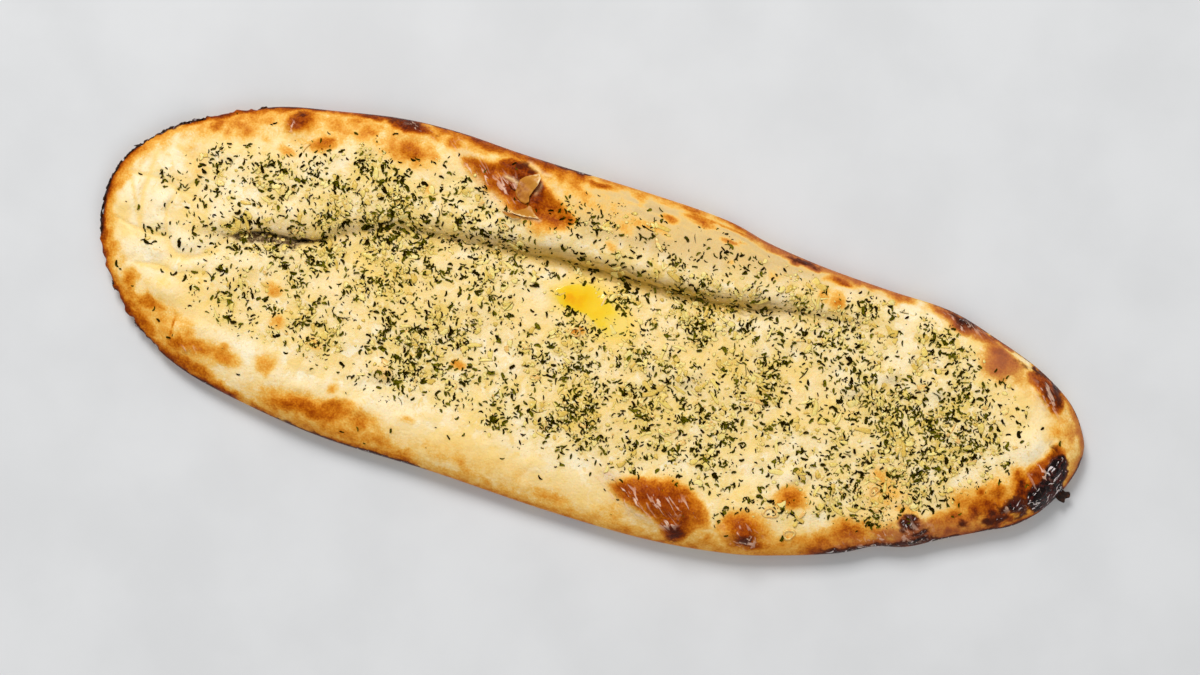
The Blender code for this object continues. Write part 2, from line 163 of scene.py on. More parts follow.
# The burst blister on the fold: a shallow torn pit with a raised edge
BURST = (-51, 60, 33, 10, -17)
BURST_DEPTH = 1.8
BURST_EDGE = 1.2
BURST_EDGE_WIDTH = 0.3

# What the skin of the blister left bare, how deeply it is browned, how much less at its rim and how far
# in, the darker and lighter places in it, and the pale torn edges with how much paler they are
BURST_OUTLINE = [
    (-82, 69.7), (-74, 71.3), (-66.7, 71.5), (-63, 74.4), (-58.6, 76.2), (-53.7, 75.2), (-48.5, 73.4),
    (-43, 71), (-39.8, 67.8), (-34.6, 64), (-29.4, 61), (-23.8, 57.7), (-21, 54.3), (-24.5, 50),
    (-30.8, 47.3), (-36.8, 43.7), (-42.2, 46), (-45.6, 48.3), (-50.3, 49.8), (-55, 51.8), (-59.4, 55.3),
    (-65.7, 57.7), (-69.8, 60.8), (-74.7, 63.2), (-79.3, 66.1),
]
BURST_DEPTH_OF_BROWN = 0.78
BURST_RIM = (0.2, 5)
BURST_DARKER = [
    ((-50.5, 72.6, 11, 3.8, -10), 0.9), ((-56, 60, 6, 3.6, -20), 0.86), ((-41.5, 65.5, 2.2, 6, 10), 0.84),
]
BURST_LIGHTER = [
    (-63.5, 64.2, 4.6, 3.8, 30, 0.16), (-38, 47.5, 9, 3.6, -12, 0.26), (-56, 54, 9, 4, -25, 0.2),
    (-71, 62.5, 6, 3, -35, 0.18), (-31, 52, 7, 4.5, -30, 0.12),
]
TORN_EDGES = [
    ([(-59, 66.3), (-55.5, 65.6), (-52, 64.4)], 1.0), ([(-50, 75.8), (-42.5, 72.2), (-39, 72.2)], 0.8),
    ([(-63, 56.4), (-58, 53), (-54.4, 51), (-46.6, 48.6)], 0.9), ([(-72.2, 62.5), (-68.6, 59.7)], 0.8),
    ([(-43.5, 50.2), (-38, 50.2)], 0.9), ([(-43, 62), (-42, 66), (-41, 70)], 0.4),
]
TORN_EDGE_WIDTH = 0.8
TORN_EDGE_RISE = 1.2

# Flakes of papery crust standing in the blister: outline, the side that is still attached (a point
# and a direction away from it), how high the free side stands, and how far the middle bulges
PAPERY_CURL = [
    (-52.6, 60.4), (-52.2, 66.4), (-50, 68.6), (-44, 71.6), (-42.6, 69.6), (-43.2, 66), (-44.6, 63),
    (-45.6, 60), (-45, 57.6), (-46.6, 56.2), (-49, 56.6), (-51.6, 58.6),
]
PAPERY_CURL_STAND = (-52, 64, 1, 0.3, 3.0, 0.9)
PAPERY_FLAP = [
    (-52.5, 50.6), (-49, 52.2), (-46, 54), (-44.6, 56), (-43.4, 55.6), (-41, 52.7), (-38.2, 51),
    (-41.5, 50.7), (-45.5, 50), (-49.5, 50),
]
PAPERY_FLAP_STAND = (-45, 56, 0.1, -1, 1.8, 0.4)
PAPERY_LIP = [(-56, 49.8), (-51, 50), (-47, 49.6), (-46.5, 48.8), (-50, 47.6), (-54, 48.6)]
PAPERY_LIP_STAND = (-51, 50, 0, -1, 0.8, 0.4)
PAPERS = {
    "crust_curl": (PAPERY_CURL, PAPERY_CURL_STAND),
    "crust_flap": (PAPERY_FLAP, PAPERY_FLAP_STAND),
    "crust_lip": (PAPERY_LIP, PAPERY_LIP_STAND),
}
PAPER_THICKNESS = 0.4
PAPER_LIFT = 0.5
PAPER_RIPPLE = 0.35

# The leaf scorched to the right tip
SCORCHED_LEAF = [
    (232.4, -5.6), (234.6, -4.4), (236.4, -5.4), (238.6, -5), (239.2, -7.4), (237.6, -8.6), (237.4, -10.6),
    (235, -10.4), (233, -9.2), (231.6, -7.6),
]
SCORCHED_LEAF_THICKNESS = 0.9
SCORCHED_LEAF_NOISE = [(0.6, 2, 96)]
SCORCHED_LEAF_BULGE = 0.4

# Long slow unevenness of hand-stretched dough, and the finer kinds: size and height
UNEVENNESS = 0.7
FINE_UNEVENNESS = [(17, 0.42), (8, 0.36), (4, 0.18), (2.2, 0.07)]

# Small bubbles of the baked surface
BUBBLE_COUNT = 420
BUBBLE_RADIUS = (1.5, 5.0)
BUBBLE_HEIGHT = 0.12
BUBBLE_STRETCH = (1.0, 1.8)
BUBBLE_RISE = (0.4, 1.3)

# Layers of soft noise, each with its strength, size in millimetres and seed: the crumb's edge and its
# surface, the crooked seam, the crackle of scorched skin, how patches are pushed about, the edges of
# shapes, the rim's browning, the scatter of herbs, the rim's scorched roughness and the brown underside
CRUMB_EDGE_NOISE = [(0.9, 3, 91), (0.5, 1.5, 92)]
CRUMB_NOISE = [(0.9, 2.4, 33)]
SEAM_NOISE = [(1.3, 11, 93), (0.5, 4, 94)]
CRACKLE_NOISE = [(0.9, 4.5, 31), (0.45, 2.4, 32)]
PATCH_NOISE_X = [(1.7, 7, 41), (0.7, 2.6, 42)]
PATCH_NOISE_Y = [(1.7, 7, 43), (0.7, 2.6, 44)]
SHAPE_NOISE = [(0.5, 3.5, 46), (0.35, 1.6, 47)]
LINE_NOISE = [(0.4, 2.2, 45)]
BAND_WIDTH_NOISE = [(0.4, 11, 51), (0.3, 4, 52)]
BAND_DEPTH_NOISE = [(0.14, 9, 56), (0.1, 3.5, 57)]
HERB_NOISE = [(0.35, 6, 61), (0.45, 3, 62)]
RIM_NOISE = [(1.3, 3.0, 71), (0.9, 1.7, 72)]
UNDERSIDE_NOISE = [(0.3, 14, 81), (0.2, 6, 82)]
# Streaks drawn out along the rim: strength, size along and across it, and seed, then how brown they are and
# from where to where they lie on the fold
STREAKS = [(1.0, 9, 1.4, 53), (0.6, 4, 0.9, 54)]
STREAK_DEPTH = 0.07
STREAKED_X = ((-40, 30), (200, 40))
STREAKED_ABOVE_Y = 30

# How finely the bread is divided
RINGS = 430
TOP_STEPS = 156
UNDERSIDE_STEPS = 48
EVENNESS_ACROSS = 0.4
EVENNESS_ALONG = 0.7

# Browned patches: x, y, half length, half width, turn in degrees, and depth of browning from 0 to 1
BROWN_PATCHES = [
    # Upper edge of the left half
    (-197, 54, 5, 4, 55, 0.6), (-182, 54, 4.5, 3, 0, 0.5), (-188, 60, 9, 2.5, 22, 0.45),
    (-175, 64, 5, 2.5, 20, 0.42), (-159.5, 65, 7, 5, 35, 0.8), (-164, 60.5, 3.5, 2.5, 0, 0.42),
    (-146, 57.5, 5.5, 3.5, 20, 0.64), (-161, 50.5, 3.5, 2.5, 0, 0.42), (-172, 52, 4, 2, 0, 0.3),
    (-151, 69, 6, 3, 10, 0.36), (-133, 73, 6, 2.2, 5, 0.5), (-126, 70.5, 4, 1.6, 0, 0.5),
    (-122, 73.5, 4, 2, 0, 0.42), (-128, 77, 10, 1.6, 6, 0.8), (-109, 77.5, 10, 3, -6, 0.94),
    (-105.5, 65.5, 7, 4.5, -10, 0.66), (-112, 63, 6, 3, 0, 0.5), (-120, 66, 5, 2, 10, 0.36),
    (-97, 66, 4, 3, 0, 0.4), (-88, 75, 5, 2.8, 0, 0.58), (-92, 49, 3, 3, 0, 0.3), (-74, 74.7, 5, 2, 0, 0.4),
    (-100, 76, 8, 2, -4, 0.5),
    # Outer side of the fold
    (-27, 71.5, 4.5, 2.2, -10, 0.52), (-34, 75, 6, 1.6, -10, 0.45), (-15, 75, 7, 1.6, -6, 0.72),
    (-20, 66, 6, 1.5, -15, 0.36), (1, 59, 5, 4, 0, 0.34), (-3, 47, 3.5, 2, 0, 0.36),
    (13, 61.5, 9, 2, -5, 0.42), (21, 67, 4, 2, 0, 0.62), (35, 71.5, 7, 1.8, -8, 0.6),
    (51, 66, 4, 1.3, 0, 0.52), (73, 66, 6, 1.5, -3, 0.6), (88, 65.3, 9, 1.6, 0, 0.84),
    (107, 60, 6, 1.9, -3, 0.72), (101, 52.5, 3, 3.5, 0, 0.38), (107, 50, 3.2, 4, 10, 0.52),
    (75, 56, 3, 1.5, 0, 0.3), (54, 55.5, 2.5, 1.5, 0, 0.32),
    # Right end
    (158, 61, 8, 3, -4, 0.72), (168, 58.6, 9, 3, -14, 0.86), (180, 55.5, 7, 2.4, -22, 0.7),
    (189.5, 45.5, 8, 6, 10, 0.72), (186, 50, 5, 3, -20, 0.76), (191, 39, 3, 3.5, 0, 0.46),
    (208, -20, 10, 8, 25, 0.58), (214, -8, 3.5, 5, 20, 0.6), (207, -26, 6, 3.5, 20, 0.82),
    (208.5, -20.5, 3.2, 2.6, 0, 0.88), (214.5, -19.5, 4, 3, 0, 0.9), (203, -13.5, 4, 3.5, 0, 0.64),
    (186, -22, 5, 3, 60, 0.3), (183, -33, 8, 4, 25, 0.42), (192.5, -33, 3.4, 2.4, 0, 0.76),
    (196, -35, 12, 3, 25, 0.5), (169, -41, 5, 4, -20, 0.82), (172, -46.5, 9, 3, 28, 0.9),
    (166, -45, 9, 4, 15, 0.56),
    # Lower edge of the right half
    (142, -52, 9, 6, 30, 0.66), (133, -59, 9, 5, 20, 0.56), (152, -55, 10, 3, 22, 0.7),
    (140, -63, 11, 2.6, 22, 0.92), (111, -44, 6, 4.8, 10, 0.64), (155, -30, 7, 8, 0, 0.3),
    (150, -22, 5, 4, 0, 0.36), (165, -34, 5, 3, 0, 0.38), (94.5, -65.5, 10, 8, -10, 0.76),
    (94, -67.5, 5, 3.8, 0, 0.94), (101, -69, 6, 3.5, 10, 0.7), (112, -66, 14, 4, 14, 0.46),
    (122, -62, 8, 3, 16, 0.48),
    # Lower edge of the left half
    (2, -74, 10, 3, -4, 0.42), (-43, -70.5, 6, 2, -10, 0.4), (-29, -75.5, 6, 2, -10, 0.4),
    (-17, -76, 4, 2, 0, 0.4), (40, -76, 7, 1.5, 0, 0.3), (20, -79, 6, 1.5, 0, 0.4),
    (80, -75, 8, 2.5, 6, 0.42), (-72, -56.5, 4, 2, 0, 0.34), (-205, -37.5, 8, 3, 0, 0.62),
    (-206, -47, 11, 4, -38, 0.66), (-217, -29, 3.5, 6, 20, 0.6), (-198, -42, 4, 3, 0, 0.45),
    (-187, -51, 4.5, 4.5, 0, 0.64), (-180, -50, 10, 4, -8, 0.58), (-165, -51, 7, 3.5, -10, 0.54),
    (-182, -60, 20, 3.6, -18, 0.66), (-160, -66, 11, 2.6, -14, 0.6), (-144, -49, 4.5, 4.5, 0, 0.42),
    (-119, -64, 21, 4.4, 6, 0.68), (-108, -61, 8, 3.4, 20, 0.6), (-95, -64, 6, 4.5, 0, 0.54),
    (-99, -71, 14, 3.4, -6, 0.5), (-84, -70, 8, 3, -10, 0.5), (-72, -72, 8, 2.4, -6, 0.5),
    # Small spots
    (-151, -14, 4, 3, 0, 0.44), (-144, -29, 3.5, 2.5, 0, 0.42), (-124, -33, 3.5, 2.5, 0, 0.4),
    (-7, 5, 3, 2, 0, 0.5), (-90, -38, 5, 4, 0, 0.26), (-57, -25, 2.5, 2, 0, 0.5),
    (-110, -52, 3, 2.5, 0, 0.4),
]

# Browned blisters with an outline of their own: outline, depth of browning, fade in millimetres
DOME_OUTLINE = [
    (27, -59.7), (31.6, -56.1), (36.8, -53.3), (41.7, -51.9), (48, -51.1), (53.4, -49.3), (59.6, -50.2),
    (65.3, -51.9), (70.6, -54.3), (75.2, -59), (78.3, -64), (77.8, -68.1), (73.1, -70.1), (70.1, -73.6),
    (67.7, -76.9), (62.7, -77.6), (57.9, -75.7), (52.5, -71.9), (47.4, -70.1), (42.1, -67.6), (35.9, -66.7),
    (29.7, -63.2),
]
RIGHT_BLISTER_OUTLINE = [
    (202.3, 43.8), (207, 46), (212.7, 45.8), (217.8, 43.2), (222.5, 38.2), (224.8, 33.4), (222.9, 28.4),
    (218, 29), (214.2, 32.4), (209.4, 36.8), (205.2, 39.4),
]
TIP_OUTLINE = [
    (223.3, 15.1), (228.6, 14.4), (232.5, 8.3), (234, 1.4), (232.5, -6.2), (229.8, -14.2), (222, -18.9),
    (215.7, -17.2), (213, -11.4), (215, -5.1), (213, -1.3), (217, 3.6), (221.6, 9),
]
SHAPED_PATCHES = [(DOME_OUTLINE, 0.73, 4.6), (RIGHT_BLISTER_OUTLINE, 0.84, 3.6), (TIP_OUTLINE, 0.8, 4.5)]
EDGE_LIGHTER = 0.16
EDGE_LIGHTER_WIDTH = 6.0
DOME_DARK = (62.8, -73.4, 6.0, 5.0, 0)
DOME_DARK_DEPTH = 0.95
DOME_LIGHT = (74, -62, 7, 12, 15)
DOME_LIGHT_DEPTH = 0.12
# The golden skin round a browned shape: its depth of browning and its fade
SHAPE_HALO = (0.3, 3.0)
BURST_HALO = (0.32, 3.5)

# Lines of browned and of glossy pale skin: points, depth, half width
BROWN_LINES = [
    ([(160, 61), (170, 59.5), (181, 55), (187, 55), (193.5, 52.6)], 0.74, 1.8),
    ([(-191, -40), (-191.3, -48), (-190.5, -57)], 0.6, 0.6),
    ([(30, 73.5), (60, 70), (90, 65.5), (125, 62.8)], 0.55, 1.1),
]
# Crinkled glossy skin, with glints painted along its crinkles: patches in the form above
CRINKLED_AND_GLINTED = [
    (-73, 64, 10, 3, -38, 1.0), (-57, 61, 5, 4, -25, 0.9), (-64, 57.8, 5, 1.4, -30, 1.0),
    (36, -63, 11, 3.2, -28, 1.0), (52, -61, 7, 3, -10, 0.9), (64, -61, 6, 2.5, -15, 0.7),
    (58.6, -71, 2.4, 1.8, 0, 1.0), (95, -67, 5.5, 3.5, -10, 1.0), (216, 34.5, 6, 3.5, -45, 0.7),
    (166, 57.5, 8, 1.8, -8, 0.7), (171, -44, 7, 4, 35, 0.35), (-164, 61, 2.6, 2, 0, 0.8),
    (220.5, -1.5, 2.6, 4, 20, 0.9), (-104, 77, 4, 1.5, -20, 0.9), (-180, -53, 2.6, 1.4, 0, 0.6),
    (208.5, -20, 2.2, 1.8, 0, 0.9), (214.5, -18, 3, 2, 20, 0.6), (160, -50, 12, 3, 24, 0.6),
]
CRINKLE_RISE = 0.8
# Browned skin with a pinkish tone, partly its own colour and partly a painted sheen
ROSY_SHEEN = [
    (190, 46, 11, 9, 0, 0.6), (168, 59, 16, 4, -15, 0.5), (236, 20, 5, 22, 10, 0.5),
    (172, -47, 30, 5, 25, 0.45), (169, -43, 9, 5, 30, 0.7), (95, 65, 40, 3, -3, 0.5),
]
PALE_RIM = [(179, 57.6), (197.1, 49.8), (203, 48.6)]
PALE_RIM_WIDTH = 1.2
PALE_RIM_PALER = 0.7

# Broad golden areas in the same form as the patches
GOLDEN_AREAS = [
    (-185, 58, 32, 9, 20, 0.31), (-130, 71, 32, 8, 4, 0.28), (-105, 66, 17, 8, -5, 0.3),
    (-30, 70, 40, 9, -8, 0.2), (60, 63, 80, 8, -5, 0.13), (208, -21, 18, 11, 28, 0.48),
    (190, -23, 7, 6, 20, 0.34), (186, -36, 20, 6, 28, 0.4), (216, -12, 6, 10, 30, 0.5),
    (150, -52, 32, 8, 20, 0.3), (-190, -46, 30, 10, -22, 0.26), (-112, -66, 38, 9, -3, 0.3),
    (200, 42, 22, 9, -30, 0.24), (-231, 25, 4, 26, -20, 0.16), (30, -72, 80, 7, 2, 0.22),
    (76, -74, 8, 5, 0, 0.36), (155, -30, 16, 13, 0, 0.2), (-202, 32, 7, 12, 20, 0.2),
    (-203, 8, 4, 6, 0, 0.12), (-30, 68, 34, 9, -8, 0.25), (60, 60, 95, 14, -6, 0.13),
    (-100, 68, 34, 9, 0, 0.22), (-150, 62, 26, 8, 12, 0.24), (226, 22, 14, 8, -60, 0.27),
    (-168, 49, 22, 7, 10, 0.15), (-40, -68, 50, 7, -2, 0.22),
]

# Scorched patches in the same form, and the scorched blister at the right tip
CHAR_PATCHES = [
    (210, 44.6, 8, 1.1, -12, 0.5), (219.5, 40, 5, 1.4, -52, 0.7), (216, 36.5, 4, 2.2, -45, 0.42),
    (214.5, -18.6, 3.4, 2.4, 20, 0.95), (208.5, -21, 2.4, 2, 20, 0.8), (207, -27, 4, 1.8, 20, 0.6),
    (192.5, -33.3, 1.8, 1.3, 20, 0.5), (168, -41, 3.2, 1.8, 10, 0.85), (174, -43.5, 3.5, 1, 35, 0.7),
    (173, -48.3, 7, 1.3, 27, 0.9), (168, -37.4, 1.8, 1.3, 0, 0.9), (140, -63.5, 9, 1.8, 22, 0.95),
    (-110, 78.6, 8, 1.4, -5, 0.45), (203, -26, 5, 2.4, 20, 0.3), (218, -21, 4, 2.4, 40, 0.45),
    (224, 12, 2.5, 3, 0, 0.35), (-160, 66.5, 2.5, 2, 0, 0.35), (63.5, -74.5, 3.4, 3, 0, 0.34),
    (-50, 73, 6, 1.5, -10, 0.36), (168, 59.6, 5, 1.3, -15, 0.7), (88, 65.8, 5, 1.1, 0, 0.6),
    (94.5, -67.5, 3, 2, 0, 0.6),
]
TIP_CHAR_OUTLINE = [
    (223.6, 6.5), (226.8, 10.3), (230.9, 9.3), (233.6, 4), (233, -1.7), (235, -6.5), (231.6, -13.5),
    (224.5, -18.4), (218.6, -14.4), (218.6, -8), (221.8, -5.3), (222.8, 0),
]

# Browned bands along the rim: from and to in x, upper or lower side, width, depth of browning
RIM_BANDS = [
    (-245, -215, "upper", 6, 0.55), (-245, -225, "upper", 3, 0.74), (-215, -100, "upper", 6, 0.4),
    (-215, -100, "upper", 2.4, 0.74), (-100, -20, "upper", 4.6, 0.72), (-100, -20, "upper", 2.4, 0.62),
    (-20, 40, "upper", 3, 0.52), (40, 145, "upper", 2.6, 0.62), (145, 245, "upper", 2.4, 0.5),
    (-245, -205, "lower", 6.5, 0.52), (-245, -190, "lower", 2.5, 0.78), (-205, -150, "lower", 3.4, 0.74),
    (-150, -130, "lower", 3, 0.58), (-130, -60, "lower", 3.2, 0.58), (-60, 30, "lower", 2.4, 0.5),
    (30, 80, "lower", 2.4, 0.5), (-140, 130, "lower", 6, 0.38), (80, 130, "lower", 4.5, 0.5),
    (118, 182, "lower", 5.5, 0.68), (130, 245, "lower", 5, 0.52), (130, 245, "lower", 2.2, 0.8),
    (203, 245, "upper", 4.4, 0.6),
]
BAND_FADE = 14.0
RIM_PUSH_REACH = 1.5
RIM_PUSH_FROM = (240, 80)
RIM_CHAR = [
    (-245, -180, "upper", 0.7, 0.75), (-245, -195, "lower", 0.7, 0.85), (-195, -60, "lower", 0.8, 0.7),
    (-180, -20, "upper", 0.7, 0.6), (175, 245, "lower", 0.9, 0.8), (130, 175, "lower", 1.6, 0.8),
    (150, 240, "upper", 0.6, 0.5),
]

# Pale puffs, some of them painted light on slopes of the left end that face away from the light, and buttery
# yellow places, in the same form
PALE_SPOTS_AND_PAINTED_LIGHT = [
    (-226, 9, 6, 9, 0, 0.9), (-212, 13, 5, 5, 0, 0.9), (-155, -44, 7, 3, 0, 0.9), (-96, -45, 5, 4, 20, 0.9),
    (-198, -5, 8, 4, 0, 0.8), (60, -1, 4, 3, 0, 0.9), (41, -4, 4, 3, 0, 0.9), (30, 20, 5, 3, 0, 0.8),
    (15, -35, 5, 3, 0, 0.8), (-208, 1, 6, 5, 0, 0.95), (-212, 46, 9, 4, 25, 0.8), (-223, 34, 5, 6, 0, 0.6),
    (-228, 25, 3, 4, 0, 0.6), (-208, -11, 6, 4, 0, 0.7), (-221, -14, 5, 6, 0, 0.5),
    (214, 11, 6, 8, 20, 1.0), (207, 16, 6, 5, 0, 0.5), (-124, -56, 9, 5, 0, 0.5), (49, 0, 8, 6, 30, 0.8),
    (140, 26, 6, 5, 40, 0.7), (124, 14, 5, 4, 0, 0.7), (110, -32, 6, 4, 10, 0.7), (96, -36, 8, 4, 0, 0.8),
    (-155, 38, 8, 4, 0, 0.4), (-130, 42, 9, 4, 10, 0.5), (-25, 12, 10, 6, 0, 0.6), (-40, 22, 8, 5, 0, 0.5),
    (15, -60, 16, 7, 0, 0.3), (104, -58, 6, 4, 0, 0.6), (-163, -2, 12, 5, 10, 0.5),
    (-30, 44, 24, 5, 0, 0.3), (67, 28, 8, 4, 0, 0.8), (-182, -42, 14, 4, -5, 0.8),
    (-90, -38, 6, 5, 20, 0.7), (-112, 75, 3, 2, 0, 0.6), (165, 26, 8, 4, 20, 0.5),
    (-142, -57, 12, 5, 0, 0.3), (-132, 56, 5, 3, 30, 0.6), (-36, 68, 8, 3, -30, 0.5),
]
YELLOW_SPOTS = [
    (204, 24, 10, 10, 0, 0.5), (-30, 5, 30, 8, 0, 0.5), (60, 10, 40, 10, 0, 0.45),
    (-100, 5, 40, 14, 10, 0.35), (-229, 1, 3, 5, 0, 0.8), (-229, -7, 6, 4, 0, 0.6),
    (-202, -27, 5, 4, 0, 0.5), (-198, 6, 6, 4, 0, 0.5), (-209, 22, 8, 2.5, 0, 0.5),
    (225, 20, 8, 12, 30, 0.4), (-118, 50, 9, 5, 0, 0.4), (110, -60, 8, 5, 20, 0.4),
    (90, -50, 10, 5, 0, 0.4), (-42, -64, 26, 7, 0, 0.7), (10, -66, 24, 5, 0, 0.4),
    (-180, -30, 14, 8, 0, 0.6), (120, 0, 20, 8, 0, 0.5), (20, -25, 26, 9, 10, 0.4), (-35, 3, 8, 5, 0, 0.4),
    (5, 20, 16, 9, -20, 0.5),
]

# The pool of melted butter in the hollow below the fold: its deepest place, how far it reaches from there,
# its film, how far its edge sinks into the dough, and how far its hidden underside lies below
BUTTER_POOL = [
    (-23, 21), (-17, 25.5), (-8, 28.5), (1, 27), (8, 22.5), (15, 16.5), (16, 10), (8, 6), (0, 9.5),
    (-5, 13.5), (-14, 13.8), (-20, 16),
]
BUTTER_DEEPEST = (-15, 20.5)
BUTTER_REACH = 34.0
BUTTER_THICKNESS = 0.5
BUTTER_SINK = 0.12
BUTTER_BELOW = 1.0

# Where herbs lie thickest: x, y, radius, weight
HERB_CLUSTERS = [
    (-174, 8, 6, 1.5), (-163, 7, 6, 1.2), (-169, 9, 10, 1.3), (-156, 6, 9, 0.8), (-140, 12, 8, 1.1),
    (-137, 25, 9, 1.9), (-162, 37, 9, 1.2), (-190, 20, 8, 0.6), (-186, 35, 8, 0.6), (-184, 7, 7, 0.4),
    (-175, -34, 9, 1.3), (-155, -29, 9, 1.2), (-128, 35, 8, 0.9), (-124, 26, 8, 0.7), (-108, 27, 11, 3.1),
    (-102, 40, 9, 2.2), (-96, 28, 8, 0.6), (-89, 20, 10, 1.3), (-86, 38, 8, 0.4), (-70, 32, 10, 0.7),
    (-62, 53, 6, 0.8), (-54, 42, 8, 1.0), (-44, 29, 11, 2.8), (-58, 14, 8, 2.0), (-47, 7, 8, 1.4),
    (-58, -10, 9, 1.7), (-108, -3, 9, 1.0), (-130, -22, 9, 0.2), (-73, -12, 8, 2.0), (-80, -22, 10, 3.2),
    (-80, -35, 9, 1.6), (-64, -29, 8, 1.2), (-50, -22, 9, 0.5), (-35, -47, 8, 1.0), (-14, 4, 8, 1.1),
    (-4, 8, 7, 1.2), (4, -8, 8, 1.0), (-30, -9, 8, 0.8), (-11, 55, 8, 0.9), (10, 29, 9, 3.2),
    (34, 46, 9, 0.5), (45, 33, 12, 3.0), (51, 51, 8, 1.0), (48, 17, 8, 0.8), (68, 25, 9, 0.8),
    (74, 37, 8, 1.1), (90, 48, 8, 0.9), (84, 10, 9, 1.5), (84, -7, 8, 1.1), (27, -5, 10, 1.1),
    (38, -8, 8, 1.0), (52, -13, 8, 1.0), (6, -28, 10, 2.2), (2, -38, 8, 1.3), (16, -44, 10, 1.3),
    (-11, -40, 9, 1.3), (20, -19, 8, 0.5), (56, -37, 8, 1.4), (74, -26, 8, 1.8), (84, -38, 8, -0.4),
    (98, -49, 9, 0.6), (103, -8, 8, 0.8), (104, 34, 9, 0.5), (113, 42, 8, 0.5), (120, 25, 9, 1.0),
    (134, 12, 12, 1.8), (146, 8, 10, 2.9), (163, 6, 12, 1.8), (178, 12, 10, 1.5), (178, -1, 9, 1.4),
    (194, 9, 8, 1.1), (169, -13, 10, 3.0), (156, -9, 8, 1.2), (136, -32, 9, 1.0), (126, -34, 8, 0.9),
    (120, -12, 9, 0.6), (148, -42, 9, 1.2), (155, -52, 6, 1.0), (160, 50, 9, 1.1), (178, 45, 8, 0.7),
    (137, 46, 8, 0.5), (140, -20, 9, 0.6), (-210, 25, 4, 2.0), (-212, 10, 10, 0.1), (-196, 38, 8, 0.8),
    (-176, 58, 6, 1.0), (-146, 58, 6, 1.2), (-216, 32, 4, 1.0), (-201, 3, 5, 0.4), (-188, 30, 9, 0.6),
    (-172, 34, 6, 0.8), (-148, 50, 6, 0.9), (-126, 58, 8, 1.6), (-112, 56, 9, 1.4), (-84, 54, 6, 1.6),
    (-78, 59, 5, 1.0), (-98, 56, 8, 0.6), (-18, 56, 8, 1.2), (-8, 60, 7, 1.2), (-12, 66, 8, 0.5),
    (20, 55, 7, 1.4), (30, 52, 8, 0.9), (40, 65, 6, 0.8), (48, 58, 8, 0.9), (60, 51, 7, 1.2),
    (66, 58, 5, 0.7), (78, 62, 5, 1.2), (92, 55, 8, 1.2), (84, 48, 7, 0.6), (98, 45, 7, 1.4),
    (118, 52, 8, 1.2), (128, 56, 7, 0.8), (112, 44, 7, 1.0), (104, 30, 5, 1.6), (105, -50, 6, 1.0),
    (84, -58, 4, 1.0), (-35, -52, 8, 0.5), (120, -56, 6, 0.5), (206, 0, 8, 0.2), (196, -4, 8, 0.3),
    (208, 24, 7, 1.3), (168, 45, 8, 0.7), (-110, -52, 5, 1.6), (-101, -40, 6, 0.9), (-88, 6, 12, 0.6),
    (-128, 2, 10, 0.5), (-60, -16, 10, 0.8), (0, 8, 7, 1.6), (60, 26, 7, 0.6), (180, 4, 12, 0.6),
    (132, 18, 8, 0.8), (170, -22, 8, 1.8), (148, -48, 7, 1.4), (-192, 36, 6, 0.9), (-172, 36, 7, 0.9),
    (-152, 0, 8, 0.8), (-132, -2, 8, 0.8), (-92, -4, 8, 0.9), (-93, -14, 8, 1.2), (-12, -2, 8, 1.0),
    (66, -20, 8, 1.2), (110, -14, 8, 0.7), (188, 4, 7, 0.6), (186, 18, 7, 1.0), (151, 52, 7, 1.8),
    (168, 50, 6, 1.0), (-12, 25, 5, 0.8), (45, 22, 7, 1.7), (30, -22, 7, 1.0), (-32, 46, 8, -0.3),
    (-115, 1, 8, 0.9), (-50, 18, 7, 1.3), (-38, -24, 7, 1.3), (-16, -18, 7, 1.4), (72, 6, 8, 1.4),
    (78, -14, 8, 1.2), (121, -2, 8, 1.3), (128, -25, 8, 1.4), (134, -47, 7, -0.5), (156, -41, 6, 1.4),
    (-133, 50, 8, -0.5), (-165, 18, 6, -0.5), (-70, 48, 7, 0.9), (-54, 47, 6, 1.0), (-20, 50, 8, 0.7),
    (6, 49, 8, 1.2), (172, -22, 8, 1.0), (185, 10, 8, 0.8), (-170, 50, 8, -0.6), (15, 34, 8, -0.8),
    (-15, -24, 7, -0.6), (-155, 16, 5, -0.4), (30, 49, 8, 0.8), (50, 47, 7, 1.0), (70, 48, 8, 0.7),
    (90, 49, 8, 1.4), (170, 46, 8, 1.0), (-150, 37, 8, 1.0), (-130, 38, 9, 1.5), (-108, 38, 9, 1.6),
    (-90, 37, 8, 0.4), (-70, 37, 8, 0.4), (-50, 36, 8, 1.2), (-30, 36, 7, 0.1), (170, 34, 8, 0.9),
    (-210, 26, 7, 0.6), (-190, 26, 8, 1.0), (-50, 23, 8, 1.2), (-32, 24, 7, 0.8), (-8, 26, 6, 0.9),
    (10, 25, 7, 1.6), (28, 24, 7, 0.8), (110, 24, 8, 0.7), (170, 24, 8, 0.8), (-130, 12, 8, 1.5),
    (-110, 12, 8, 0.7), (-10, 11, 6, 1.3), (70, 12, 8, 0.9), (90, 13, 8, 1.7), (132, 12, 8, 0.7),
    (-150, 0, 8, 0.9), (-95, 0, 10, 0.8), (-8, 0, 8, 1.7), (30, 1, 8, 1.5), (50, -1, 7, -0.5),
    (132, 0, 8, 0.8), (-70, -12, 8, 1.2), (-8, -12, 8, 0.8), (155, -12, 10, 0.9), (-172, -23, 8, 1.2),
    (-120, -22, 10, 0.9), (-70, -24, 8, 1.4), (68, -24, 9, 1.4), (110, -24, 8, 0.9), (168, -24, 8, 1.6),
    (-90, -36, 7, 0.8), (-68, -36, 7, 0.6), (-50, -36, 7, 0.6), (-8, -36, 8, 1.0), (32, -36, 8, 1.1),
    (50, -36, 8, 1.5), (70, -34, 7, 0.7), (150, -36, 7, 1.0), (-30, -48, 7, 0.7), (-50, -47, 6, 0.6),
    (32, -47, 7, 0.6), (70, -47, 7, -0.5), (111, -48, 7, 0.7), (150, -47, 7, 2.0), (111, -59, 5, 1.2),
]
